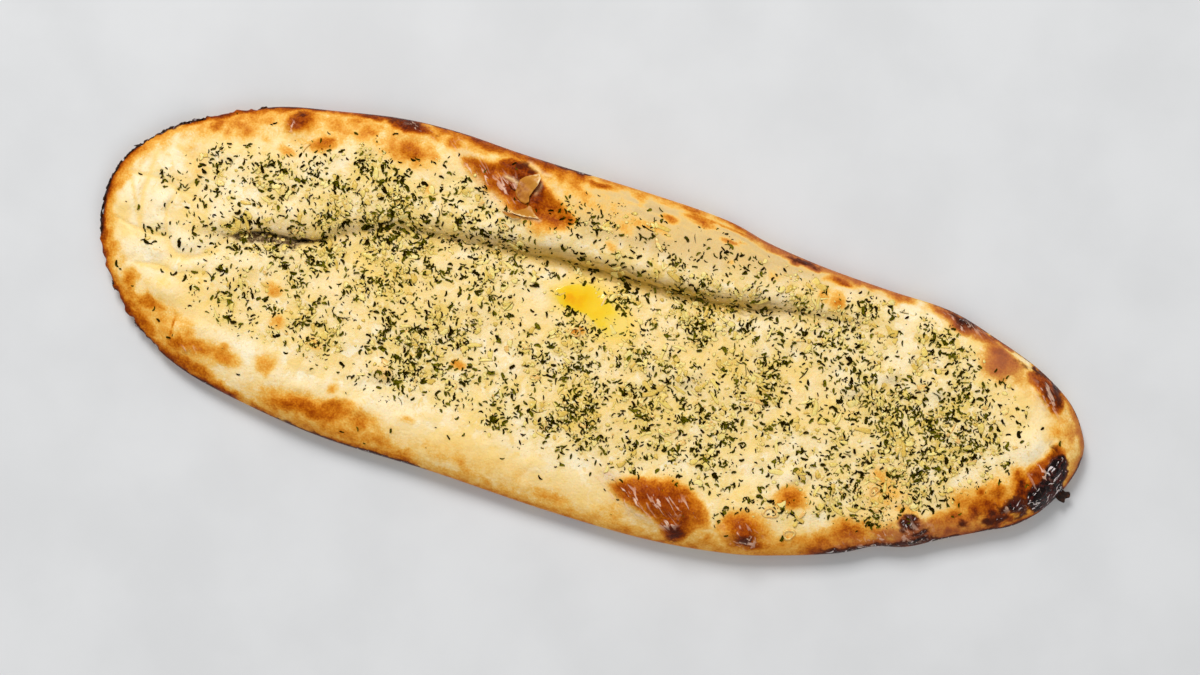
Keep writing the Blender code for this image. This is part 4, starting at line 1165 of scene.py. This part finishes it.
def drawn_places(rng, weight, count):
    """Places drawn by weight."""
    places = np.zeros((0, 2))
    while len(places) < count:
        drawn = np.column_stack([rng.uniform(-reach, reach, DRAWN_AT_ONCE) for reach in DRAWN_REACH])
        keep = rng.uniform(0, FULL_WEIGHT, DRAWN_AT_ONCE) < weight(drawn[:, 0], drawn[:, 1])
        places = np.vstack([places, drawn[keep]])
    return places[:count]


def clumped_places(rng, weight, count, clumping):
    """Places drawn by weight, some alone and the rest in clumps: their share, size and reach."""
    share, size, furthest = clumping
    alone = drawn_places(rng, weight, round(count * (1 - share)))
    middles = drawn_places(rng, weight, round(count * share / size))
    reach = np.repeat(rng.uniform(*CLUMP_REACH, len(middles)) * furthest, size)
    members = np.repeat(middles, size, 0)
    members += rng.normal(0, 1, members.shape) * reach[:, None]
    on_place = weight(members[:, 0], members[:, 1]) > LEAST_WEIGHT
    return np.vstack([alone, members[on_place]])


def topping_places():
    """Where each kind of topping lies, by name."""
    rng = np.random.default_rng(SEED)
    places = {}
    for weight, kinds in ((herb_weight, HERB_KINDS), (garlic_weight, GARLIC_KINDS)):
        for name, (kind, clumping, *_) in kinds.items():
            places[name] = clumped_places(rng, weight, kind[0], clumping)
    places["herb_flakes"] = np.vstack([places["herb_flakes"], PLACED_HERBS])
    return places


def lay(points, rng, place, normal, tilt, lift):
    """Turns a piece's own points to lie on the surface."""
    flat = Vector((0, 0, 1)).rotation_difference(normal).to_matrix()
    spin = Matrix.Rotation(rng.uniform(0, math.tau), 3, "Z")
    lean = Matrix.Rotation(rng.normal(0, math.radians(tilt)), 3, "X")
    turned = points @ np.array(flat @ spin @ lean).T
    return turned + place + np.array(normal) * lift


def flake_points(rng, length, width, steps, across):
    """One face of a leaf flake: rows of points along it, narrowing and bending unevenly."""
    t = np.linspace(-1, 1, steps + 1)
    half = width / 2 * np.sqrt(np.clip(1.08 - t ** 2 * rng.uniform(*FLAKE_NARROWING), 0.05, 1))
    from_middle = np.linspace(-1, 1, across)[None] * half[:, None]
    jag = rng.uniform(*FLAKE_JAG, (steps + 1, across))
    y = from_middle * jag + rng.uniform(*FLAKE_BOW) * length * (t ** 2)[:, None]
    shift = rng.uniform(-FLAKE_SHIFT, FLAKE_SHIFT, y.shape) * length / steps
    x = np.repeat((t * length / 2)[:, None], across, 1) + shift
    curl = rng.uniform(*FLAKE_CURL) / max(width, 0.8)
    bend = rng.uniform(*FLAKE_BEND) / length
    z = curl * from_middle ** 2 + bend * x ** 2
    return np.column_stack([x.ravel(), y.ravel(), z.ravel()])


def flake_faces(steps, across):
    """Faces of a closed flake whose lower points follow its upper ones."""
    count = (steps + 1) * across
    faces = []
    for i in range(steps):
        for j in range(across - 1):
            a = i * across + j
            b, c, d = a + across, a + across + 1, a + 1
            faces += [(a, b, c), (a, c, d)]
            faces += [(count + a, count + c, count + b), (count + a, count + d, count + c)]
    rim = [i * across for i in range(steps, -1, -1)] + list(range(1, across))
    rim += [i * across + across - 1 for i in range(1, steps + 1)]
    rim += [steps * across + j for j in range(across - 2, 0, -1)]
    for a, b in zip(rim, rim[1:] + rim[:1]):
        faces += [(a, count + a, count + b), (a, count + b, b)]
    return np.array(faces)


def scattered(name, tree, places, make_one, faces_of_one):
    """Lays a piece made by make_one on each place and joins them all."""
    points, faces, tones = [], [], []
    for x, y in places:
        place, normal = drop_on(tree, x, y)
        if place is None:
            continue
        piece, tone = make_one(place, normal)
        faces.append(faces_of_one + len(points) * len(piece))
        points.append(piece)
        tones.append(tone)
    joined = mesh_object(name, np.vstack(points), np.vstack(faces).tolist())
    for column, attribute in enumerate(("tone", "rim")):
        set_attribute(joined, attribute, np.vstack(tones)[:, column])
    return joined


def drawn_length(rng, lengths, shortness):
    """A length between two limits, more often a short one the more the shortness is over 1."""
    return lengths[0] + (lengths[1] - lengths[0]) * rng.uniform() ** shortness


def make_flakes(name, tree, places, kind, steps, across, lift):
    _, lengths, widths = kind
    rng = np.random.default_rng(SEED + steps)
    half = np.array([0, 0, HERB_THICKNESS / 2])

    def make_one(place, normal):
        length = drawn_length(rng, lengths, FLAKE_SHORTNESS)
        face = flake_points(rng, length, length * rng.uniform(*widths), steps, across)
        both = np.vstack([face + half, face - half])
        tone = np.column_stack([np.full(len(both), rng.uniform()), np.zeros(len(both))])
        return lay(both, rng, place, normal, FLAKE_TILT, lift), tone

    return scattered(name, tree, places, make_one, flake_faces(steps, across))


def ball(subdivisions):
    """Points and faces of a ball of diameter 1."""
    bm = bmesh.new()
    bmesh.ops.create_icosphere(bm, subdivisions=subdivisions, radius=0.5)
    bm.verts.index_update()
    points = np.array([v.co for v in bm.verts])
    faces = np.array([[v.index for v in f.verts] for f in bm.faces])
    bm.free()
    return points, faces


def make_garlic(name, tree, places, kind, subdivisions):
    _, lengths, widths = kind
    rng = np.random.default_rng(SEED + len(name))
    ball_points, ball_faces = ball(subdivisions)
    # 0 at the top of a bit and 1 from its middle down: where its painted shade lies
    from_top = np.clip(1 - 2 * ball_points[:, 2], 0, 1)
    angle = np.arctan2(ball_points[:, 1], ball_points[:, 0])
    blunt = np.sign(ball_points) * np.abs(ball_points * 2) ** GARLIC_BLUNTNESS / 2

    def make_one(place, normal):
        length = drawn_length(rng, lengths, GARLIC_SHORTNESS)
        width = length * rng.uniform(*widths)
        height = min(width, GARLIC_THICKNESS) * rng.uniform(*GARLIC_HEIGHT)
        corners = 1 + sum(rise * np.cos(count * angle + rng.uniform(0, 6)) for rise, count in GARLIC_CORNERS)
        chip = blunt * np.array([length, width, height])
        chip[:, :2] *= corners[:, None]
        chip *= 1 + rng.uniform(-GARLIC_ROUGHNESS, GARLIC_ROUGHNESS, (len(chip), 1))
        chip[:, 1] += rng.uniform(-GARLIC_BOW, GARLIC_BOW) * (chip[:, 0] / length) ** 2 * width * 2
        tone = np.column_stack([np.full(len(chip), rng.uniform()), from_top])
        return lay(chip, rng, place, normal, GARLIC_TILT, height * GARLIC_LIFT), tone

    return scattered(name, tree, places, make_one, ball_faces)


def ring_points(tree, ring, around, across):
    """Points round the loops of one thin ring."""
    x, y, half_length, half_width, turn = ring
    turned = math.radians(turn)
    points = []
    for angle in np.arange(around) * math.tau / around:
        wobble = 1 + RING_WAVE * math.sin(3 * angle + x)
        for side in np.arange(across) * math.tau / across:
            out = 1 + RING_THICKNESS / 2 * math.cos(side) / half_width
            along = half_length * wobble * out * math.cos(angle)
            over = half_width * wobble * out * math.sin(angle)
            at_x = x + along * math.cos(turned) - over * math.sin(turned)
            at_y = y + along * math.sin(turned) + over * math.cos(turned)
            height = drop_on(tree, at_x, at_y)[0][2]
            points.append((at_x, at_y, height + RING_LIFT + RING_THICKNESS / 2 * math.sin(side)))
    return points


def make_garlic_rings(tree):
    around, across = RING_STEPS
    points, faces = [], []
    for ring in GARLIC_RINGS:
        for i in range(around):
            first, second = (len(points) + loop % around * across for loop in (i, i + 1))
            faces += band_faces(first, second, across)
        points += ring_points(tree, ring, around, across)
    rings = mesh_object("garlic_rings", points, faces)
    set_attribute(rings, "tone", np.full(len(points), 1.0))
    # The rings take part of the garlic's painted shade
    set_attribute(rings, "rim", np.full(len(points), 0.5))
    return rings


def make_rim_shards():
    """Thin scorched shards of crust that stick to the rim round the left end."""
    rng = np.random.default_rng(SEED + 5)
    ball_points, ball_faces = ball(1)
    ahead = np.roll(EDGE, -1, 0) - EDGE
    upper = np.arange(len(EDGE)) <= LEFT_TIP
    scorched = EDGE[:, 0] < np.where(upper, *RIM_SHARD_FROM_X)
    ragged = soft_noise(*EDGE.T, *RIM_SHARD_PATCHES) > RIM_SHARDS_ABOVE
    stretch = np.flatnonzero(scorched & ragged)
    points, faces = [], []
    for index in range(RIM_SHARD_COUNT):
        at = rng.choice(stretch)
        along = ahead[at] / np.hypot(*ahead[at])
        outward = np.array([along[1], -along[0]])
        size = [rng.uniform(*limits) for limits in RIM_SHARD_SIZE]
        shard = ball_points * size * rng.uniform(*RIM_SHARD_ROUGHNESS, (len(ball_points), 1))
        side = shard[:, 1] + shard[:, 0] * rng.normal(0, RIM_SHARD_LEAN)
        centre = EDGE[at] + along * rng.uniform(-1, 1) + outward * rng.uniform(*RIM_SHARD_OUTWARD)
        flat = centre + shard[:, :1] * along + side[:, None] * outward
        points.append(np.column_stack([flat, shard[:, 2] + rng.uniform(*RIM_SHARD_HEIGHT)]))
        faces.append(ball_faces + index * len(ball_points))
    return mesh_object("rim_shards", np.vstack(points), np.vstack(faces).tolist())


def sheet_faces(rings, around):
    """Faces of a closed sheet of rings out from its middle, with a copy of its points below."""
    faces = []
    for ring in range(rings):
        faces += band_faces(ring * around, (ring + 1) * around, around)
    count = (rings + 1) * around
    faces += [tuple(count + i for i in reversed(face)) for face in faces]
    for j in range(around):
        a, b = rings * around + j, rings * around + (j + 1) % around
        faces.append((a, count + a, count + b, b))
    return faces


def sheet_object(name, points, thickness, around):
    """A closed sheet from the points of its rings, each of them around points long."""
    points = np.array(points)
    both = np.vstack([points, points - [0, 0, thickness]])
    return mesh_object(name, both, sheet_faces(len(points) // around - 1, around))


def sheet_rings(edge, rings):
    """Each ring's share of the way out, and its points."""
    centre = edge.mean(0)
    for ring in range(rings + 1):
        share = ring / rings
        yield share, centre + (edge - centre) * max(share, 0.001)


def make_butter(tree):
    """A thin film of melted butter that thins out to nothing at its edge."""
    points, tones = [], []
    for share, ring in sheet_rings(BUTTER_EDGE, 14):
        film = BUTTER_THICKNESS * math.sqrt(1 - share * share) - BUTTER_SINK * share
        points += [(x, y, drop_on(tree, x, y)[0][2] + film) for x, y in ring]
        away = np.hypot(ring[:, 0] - BUTTER_DEEPEST[0], ring[:, 1] - BUTTER_DEEPEST[1]) / BUTTER_REACH
        tones += list(np.clip(away + 0.7 * share ** 5, 0, 1))
    butter = sheet_object("butter_pool", points, BUTTER_BELOW, len(BUTTER_EDGE))
    set_attribute(butter, "tone", np.tile(tones, 2))
    return butter


def make_paper(name, tree, outline, stand):
    """A papery flake of crust, attached on one side and standing free on the other."""
    edge = subdivided(outline, 5)
    at_x, at_y, away_x, away_y, rise, bulge = stand
    points, tones = [], []
    furthest = max((x - at_x) * away_x + (y - at_y) * away_y for x, y in edge)
    for share, ring in sheet_rings(edge, 8):
        for x, y in ring:
            free = np.clip(((x - at_x) * away_x + (y - at_y) * away_y) / furthest, 0, 1)
            ripple = PAPER_RIPPLE * soft_noise(np.array([x]), np.array([y]), 2.5, 95)[0] * share
            height = PAPER_LIFT + rise * free ** 1.4 + bulge * (1 - share * share) + ripple
            points.append((x, y, drop_on(tree, x, y)[0][2] + height))
            # Painted light: paler the higher the free side stands, darker towards the attached side, and pale
            # at the edge as a painted highlight
            tones.append(np.clip(free * 0.8 + 0.3 * share ** 4, 0, 1))
    paper = sheet_object(name, points, PAPER_THICKNESS, len(edge))
    set_attribute(paper, "tone", np.tile(tones, 2))
    return paper


def make_scorched_leaf():
    """A leaf of herb scorched to the rim at the right tip."""
    edge = closed_curve(SCORCHED_LEAF, 3)
    points = []
    for share, ring in sheet_rings(edge, 5):
        height = RIM_HEIGHT + layered_noise(*ring.T, SCORCHED_LEAF_NOISE) + SCORCHED_LEAF_BULGE * (1 - share)
        points.append(np.column_stack([ring, height]))
    return sheet_object("scorched_leaf", np.vstack(points), SCORCHED_LEAF_THICKNESS, len(edge))


# Materials

def linear(colour):
    """A shader colour from an sRGB colour in 0 to 255; a node's socket stays as it is."""
    if isinstance(colour, bpy.types.NodeSocket):
        return colour
    shares = [value / 255 for value in colour]
    return (*(c / 12.92 if c <= 0.04045 else ((c + 0.055) / 1.055) ** 2.4 for c in shares), 1)


class Graph:
    """A material's nodes."""

    def __init__(self, name):
        self.material = bpy.data.materials.new(name)
        self.material.use_nodes = True
        self.tree = self.material.node_tree
        self.shader = self.tree.nodes["Principled BSDF"]
        self.place = self.tree.nodes.new("ShaderNodeTexCoord").outputs["Object"]

    def feed(self, node, inputs):
        """Sets or links the inputs of a node, by their names or numbers."""
        for key, value in inputs.items():
            if isinstance(value, bpy.types.NodeSocket):
                self.tree.links.new(value, node.inputs[key])
            else:
                node.inputs[key].default_value = value

    def node(self, kind, inputs, output=0, **settings):
        """A new node's output."""
        node = self.tree.nodes.new("ShaderNode" + kind)
        for name, value in settings.items():
            setattr(node, name, value)
        self.feed(node, inputs)
        return node.outputs[output]

    def set(self, **inputs):
        """Sets or links the inputs of the shader."""
        self.feed(self.shader, {name.replace("_", " "): value for name, value in inputs.items()})

    def attribute(self, name):
        return self.node("Attribute", {}, "Fac", attribute_name=name)

    def noise(self, size_mm, detail=3, distortion=0):
        scale = 1 / (size_mm * METRES_PER_MM)
        inputs = {"Vector": self.place, "Scale": scale, "Detail": detail, "Distortion": distortion}
        return self.node("TexNoise", inputs, "Fac")

    def streaked_noise(self, size_mm, turn, stretch, distortion):
        """Noise drawn out along a direction turned by some degrees from +X."""
        turned = {"Vector": self.place, "Rotation": (0, 0, math.radians(turn)), "Scale": (stretch, 1, 1)}
        plain = self.place
        self.place = self.node("Mapping", turned, "Vector", vector_type="TEXTURE")
        streaked = self.noise(size_mm, 2, distortion)
        self.place = plain
        return streaked

    def sum(self, a, b, operation="ADD"):
        return self.node("Math", {0: a, 1: b}, operation=operation)

    def times(self, a, b):
        return self.sum(a, b, "MULTIPLY")

    def ranged(self, value, low, high, to_low=0.0, to_high=1.0):
        inputs = {"Value": value, "From Min": low, "From Max": high, "To Min": to_low, "To Max": to_high}
        return self.node("MapRange", inputs, "Result", interpolation_type="SMOOTHSTEP")

    def patches(self, size_mm, detail, distortion, low, high, most=1.0, least=0.0):
        """Patches of noise: size, detail, distortion, where they fade in, and their strength."""
        return self.ranged(self.noise(size_mm, detail, distortion), low, high, least, most)

    def wobble(self, size_mm, detail, strength, low=0.3, high=0.7):
        """Noise that adds or takes up to a strength."""
        return self.patches(size_mm, detail, 0, low, high, strength, -strength)

    def mix(self, share, a, b):
        return self.node("Mix", {0: share, 6: linear(a), 7: linear(b)}, 2, data_type="RGBA")

    def layered(self, colour, layers):
        """A colour with further ones laid over it, each by its share."""
        for share, over in layers:
            colour = self.mix(share, colour, over)
        return colour

    def ramp(self, value, stops):
        """Colours by a value, from pairs of a place and an sRGB colour."""
        node = self.tree.nodes.new("ShaderNodeValToRGB")
        elements = node.color_ramp.elements
        while len(elements) < len(stops):
            elements.new(0.5)
        for element, (position, colour) in zip(elements, stops):
            element.position = position
            element.color = linear(colour)
        self.feed(node, {0: value})
        return node.outputs[0]

    def bump(self, height, distance_mm):
        inputs = {"Strength": 1.0, "Distance": distance_mm * METRES_PER_MM, "Height": height}
        self.set(Normal=self.node("Bump", inputs))

    def toned(self, stops, wobble, bump, **inputs):
        """A plain material: colours by its tone attribute and some noise, and noise in its bump."""
        tone = self.sum(self.attribute("tone"), self.wobble(*wobble))
        self.set(Base_Color=self.ramp(tone, stops), **inputs)
        if bump:
            self.bump(self.noise(*bump[:2]), bump[2])
        return self.material


# Dark lines painted along the seam of the fold as shade in its fine grooves: place across it in tens of
# millimetres, and darkness
SEAM_SHADE_LINES = [(0.05, 0.7), (0.34, 0.4), (-0.24, 0.3)]
CRINKLE_TURN = -42.0
# Colours from the palest to the most browned dough, and those of the other materials by their tone
BROWNING = [
    (0.0, (246, 216, 150)), (0.15, (246, 209, 132)), (0.3, (240, 186, 88)), (0.45, (226, 150, 44)),
    (0.58, (200, 112, 12)), (0.7, (164, 76, 2)), (0.8, (134, 52, 0)), (0.9, (88, 26, 2)), (1.0, (44, 16, 8)),
]
HERB_TONES = [(0.0, (25, 15, 0)), (0.35, (43, 33, 0)), (0.7, (70, 66, 0)), (1.0, (112, 103, 14))]
GARLIC_TONES = [
    (0.0, (222, 182, 80)), (0.4, (238, 208, 108)), (0.85, (248, 226, 144)), (1.0, (236, 186, 104)),
]
SCORCHED_TONES = [(0.35, (22, 14, 10)), (0.55, (52, 28, 14)), (0.75, (96, 50, 20))]
PAPER_TONES = [(0.0, (150, 84, 18)), (0.3, (184, 118, 36)), (0.75, (200, 138, 50)), (1.0, (250, 220, 164))]
BUTTER_TONES = [(0.0, (240, 166, 6)), (0.2, (244, 192, 14)), (0.6, (244, 206, 52)), (1.0, (248, 214, 112))]


def dough_colour(g):
    """Cream dough, paler and yellower in places, stained round its toppings, with painted shade round the
    garlic, on the roll and in the fold.
    """
    herbs = g.attribute("herb_stain")
    return g.layered((254, 232, 184), [
        (g.patches(28, 2, 0, 0.35, 0.65), (248, 217, 148)),
        (g.patches(9, 3, 0, 0.42, 0.64, 0.6), (252, 232, 194)),
        (g.patches(6, 3, 0.5, 0.54, 0.7, 0.7), (242, 206, 122)),
        (g.patches(7.5, 4, 0.9, 0.53, 0.62, 0.75), (255, 242, 210)),
        (g.patches(13, 3, 0.6, 0.52, 0.62, 0.4), (246, 212, 118)),
        # Pale puffs, and painted light on shaded slopes of the left end
        (g.attribute("pale"), (254, 238, 202)),
        (g.patches(2.6, 4, 0.8, 0.57, 0.7, 0.55), (240, 198, 112)),
        (g.patches(1.3, 4, 0.6, 0.55, 0.72, 0.4), (226, 186, 112)),
        (g.attribute("yellow"), (248, 206, 108)),
        (g.times(herbs, g.patches(4, 3, 0.6, 0.4, 0.6, 1, 0.25)), (226, 194, 84)),
        # Stain and painted shade round the garlic
        (g.times(g.attribute("garlic_stain_and_shade"), g.patches(2.2, 3, 0.8, 0.4, 0.58, 1, 0.2)), (224, 188, 80)),
        (g.times(herbs, g.patches(1.9, 3, 0.9, 0.56, 0.64, 1.1)), (252, 232, 174)),
        # Painted shade on the outer side of the roll
        (g.times(g.attribute("roll"), 0.85), (206, 172, 112)),
        (g.times(g.attribute("fold_shade"), 0.85), (200, 150, 18)),
        (g.attribute("butter"), (248, 210, 96)),
    ])


def seam_shade_layers(g):
    """The shares and colours of the dark lines of painted shade along the seam of the fold."""
    seam = g.sum(g.attribute("seam"), g.wobble(2.5, 3, 0.05))
    for offset, strength in SEAM_SHADE_LINES:
        away = g.sum(g.sum(seam, offset, "SUBTRACT"), 0, "ABSOLUTE")
        line = g.times(g.ranged(away, 0.02, 0.09, 1, 0), g.patches(7, 2, 0, 0.35, 0.55, 1, 0.2))
        yield g.times(g.times(line, g.attribute("seam_shade_share")), strength), (84, 64, 10)


def crust_layers(g, depth, char, folds):
    """The shares and colours that browning, torn skin, scorching, painted glints and painted shade lay over
    the dough.
    """
    crinkled_and_glinted = g.attribute("crinkled_and_glinted")
    # Painted glints: pale flecks on the scorched skin
    painted_glints = g.ranged(g.streaked_noise(2.6, 75, 1.8, 1.6), 0.6, 0.65)
    return [
        (g.ranged(depth, 0.04, 0.34), g.ramp(depth, BROWNING)),
        # Pinkish browned skin, partly a painted sheen
        (g.times(g.attribute("rosy_sheen"), g.ranged(depth, 0.2, 0.5)), (176, 108, 74)),
        (g.times(crinkled_and_glinted, 0.3), (150, 58, 22)),
        (g.times(g.attribute("torn"), 0.85), (246, 208, 150)),
        (g.ranged(char, 0.12, 0.5), (84, 32, 8)),
        (g.ranged(char, 0.45, 0.85), g.mix(g.patches(3.4, 3, 0.9, 0.46, 0.58), (20, 8, 7), (66, 22, 16))),
        # Painted glints along the crinkles of glossy skin
        (g.times(crinkled_and_glinted, g.ranged(folds, 0.55, 0.64)), (246, 204, 176)),
        (g.times(g.times(painted_glints, g.ranged(char, 0.5, 0.8)), 0.8), (240, 226, 222)),
        *seam_shade_layers(g),
        (g.attribute("crumb"), g.mix(g.patches(1.5, 3, 0.5, 0.42, 0.58), (96, 70, 38), (172, 146, 100))),
        # Painted shade in the gape under the lip
        (g.attribute("slit_shade"), (58, 36, 20)),
    ]


def bread_material():
    g = Graph("baked bread")
    brown, mottle = g.attribute("brown"), g.patches(3.6, 4, 0.3, 0.3, 0.7, 0.06, -0.06)
    depth = g.sum(brown, g.times(g.sum(g.wobble(0.9, 3, 0.05), mottle), g.ranged(brown, 0.02, 0.4)))
    char = g.sum(g.attribute("char"), g.times(mottle, 2.6))
    folds = g.streaked_noise(2.2, CRINKLE_TURN, 4.0, 0.8)
    scorched = g.ranged(char, 0.3, 0.8)
    glossy = g.sum(g.ranged(brown, 0.4, 0.9, 0.5, 0.34), g.times(scorched, -0.18))
    g.set(Base_Color=g.layered(dough_colour(g), crust_layers(g, depth, char, folds)), IOR=1.45,
          Roughness=g.sum(glossy, g.wobble(5, 3, 0.07, 0.35, 0.65)),
          Specular_IOR_Level=g.sum(g.ranged(brown, 0.35, 0.7, 0.14, 0.05), g.times(scorched, 0.08)),
          Subsurface_Weight=0.1, Subsurface_Radius=(1.0, 0.5, 0.2), Subsurface_Scale=0.003)
    height = g.sum(g.noise(1.3, 4), g.times(g.noise(0.5, 2), 0.35))
    height = g.sum(height, g.times(g.times(g.noise(1.9, 2, 0.4), g.attribute("herb_stain")), 1.6))
    crackled = g.times(folds, g.sum(g.times(scorched, 1.2), g.times(g.attribute("crinkled_and_glinted"), 5.0)))
    g.bump(g.sum(height, crackled), 0.35)
    return g.material


def herb_material():
    return Graph("dried herb leaf").toned(
        HERB_TONES, (0.8, 2, 0.25), (0.4, 2, 0.05), Roughness=0.7, Specular_IOR_Level=0.0)


def garlic_material():
    g = Graph("chopped garlic")
    flesh = g.ramp(g.sum(g.attribute("tone"), g.wobble(1.2, 2, 0.15)), GARLIC_TONES)
    # Painted shade: each bit is darker from its middle down to its foot
    g.set(Base_Color=g.mix(g.ranged(g.attribute("rim"), 0.35, 0.95, 0, 0.8), flesh, (176, 138, 48)),
          Roughness=0.35, Specular_IOR_Level=0.35,
          Subsurface_Weight=0.2, Subsurface_Radius=(1.0, 0.7, 0.3), Subsurface_Scale=0.001)
    g.bump(g.noise(0.6, 2), 0.06)
    return g.material


def scorched_material():
    g = Graph("scorched crust")
    g.set(Base_Color=g.ramp(g.noise(1.5, 3), SCORCHED_TONES), Roughness=0.6, Specular_IOR_Level=0.2)
    g.bump(g.noise(0.5, 3), 0.15)
    return g.material


def paper_material():
    return Graph("papery crust").toned(
        PAPER_TONES, (2.0, 3, 0.15), (0.8, 3, 0.1), Roughness=0.4, Specular_IOR_Level=0.25)


def butter_material():
    return Graph("melted butter").toned(
        BUTTER_TONES, (6, 2, 0.08, 0.35, 0.65), None, Roughness=0.12, Specular_IOR_Level=0.3,
        Subsurface_Weight=0.15, Subsurface_Radius=(1.0, 0.7, 0.1), Subsurface_Scale=0.002)


def floor_material():
    g = Graph("pale floor")
    pale = g.mix(g.patches(60, 5, 0, 0.3, 0.7), (218, 219, 220), (212, 213, 214))
    g.set(Base_Color=pale, Roughness=0.8, Specular_IOR_Level=0.1)
    return g.material


# Floor, light and camera

def make_floor():
    bpy.ops.mesh.primitive_plane_add(size=FLOOR_SIZE)
    floor = bpy.context.object
    floor.name = "floor"
    floor.data.materials.append(floor_material())


def add_area_light(name, place, size, power):
    data = bpy.data.lights.new(name, "AREA")
    data.size = size
    data.energy = power
    lamp = bpy.data.objects.new(name, data)
    bpy.context.scene.collection.objects.link(lamp)
    lamp.location = place
    lamp.rotation_euler = (-Vector(place)).to_track_quat("-Z", "Y").to_euler()


def picture_direction(right, up, height):
    """A place given along the photograph's right and up directions, in metres."""
    turn = math.radians(CAMERA_TURN)
    x = right * math.cos(turn) - up * math.sin(turn)
    y = right * math.sin(turn) + up * math.cos(turn)
    return (x, y, height)


def make_light():
    for name, (place, size, power) in LAMPS.items():
        add_area_light(name, picture_direction(*place), size, power)
    world = bpy.data.worlds.new("studio")
    bpy.context.scene.world = world
    world.use_nodes = True
    background = world.node_tree.nodes["Background"]
    background.inputs["Color"].default_value = (1, 1, 1, 1)
    background.inputs["Strength"].default_value = WORLD_LIGHT
    bpy.context.scene.view_settings.view_transform = "Standard"


def make_camera():
    data = bpy.data.cameras.new("camera")
    data.sensor_width = SENSOR_WIDTH
    data.sensor_fit = "HORIZONTAL"
    data.lens = SENSOR_WIDTH * CAMERA_DISTANCE / FIELD_WIDTH
    data.clip_start = NEAREST_SEEN
    camera = bpy.data.objects.new("camera", data)
    bpy.context.scene.collection.objects.link(camera)
    centre = Vector(VIEW_CENTRE) * METRES_PER_MM
    camera.location = centre + Vector((0, 0, CAMERA_DISTANCE * METRES_PER_MM))
    camera.rotation_euler = (0, 0, math.radians(CAMERA_TURN))
    bpy.context.scene.camera = camera


def finish_piece(piece, material, slot, *nodes):
    piece.data.materials.append(material)
    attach(piece, "root")
    if nodes:
        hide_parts(*nodes)


def build():
    make_camera()
    make_light()
    make_floor()
    places = topping_places()
    large = ("herb_leaves", "garlic_chips", "garlic_slivers")
    stains = {name: np.repeat(spots, 2, 0) if name in large else spots for name, spots in places.items()}
    herbs = np.vstack([stains[name] for name in ("herb_flakes", "herb_leaves")])
    garlic_spots = np.vstack([stains[name] for name in GARLIC_KINDS])
    bread = make_bread(herbs, garlic_spots)
    tree = surface_tree(bread)
    finish_piece(bread, bread_material(), "baked_dough", "naan")
    herb, garlic, scorched, paper = herb_material(), garlic_material(), scorched_material(), paper_material()
    for name, (kind, _, steps, across, lift) in HERB_KINDS.items():
        finish_piece(make_flakes(name, tree, places[name], kind, steps, across, lift), herb, "herb_leaf")
    for name, (kind, _, fineness) in GARLIC_KINDS.items():
        finish_piece(make_garlic(name, tree, places[name], kind, fineness), garlic, "garlic")
    finish_piece(make_garlic_rings(tree), garlic, "garlic")
    finish_piece(make_rim_shards(), scorched, "scorched_crust")
    finish_piece(make_scorched_leaf(), scorched, "scorched_crust")
    for name, (outline, stand) in PAPERS.items():
        finish_piece(make_paper(name, tree, outline, stand), paper, "baked_dough")
    finish_piece(make_butter(tree), butter_material(), "melted_butter")


build()
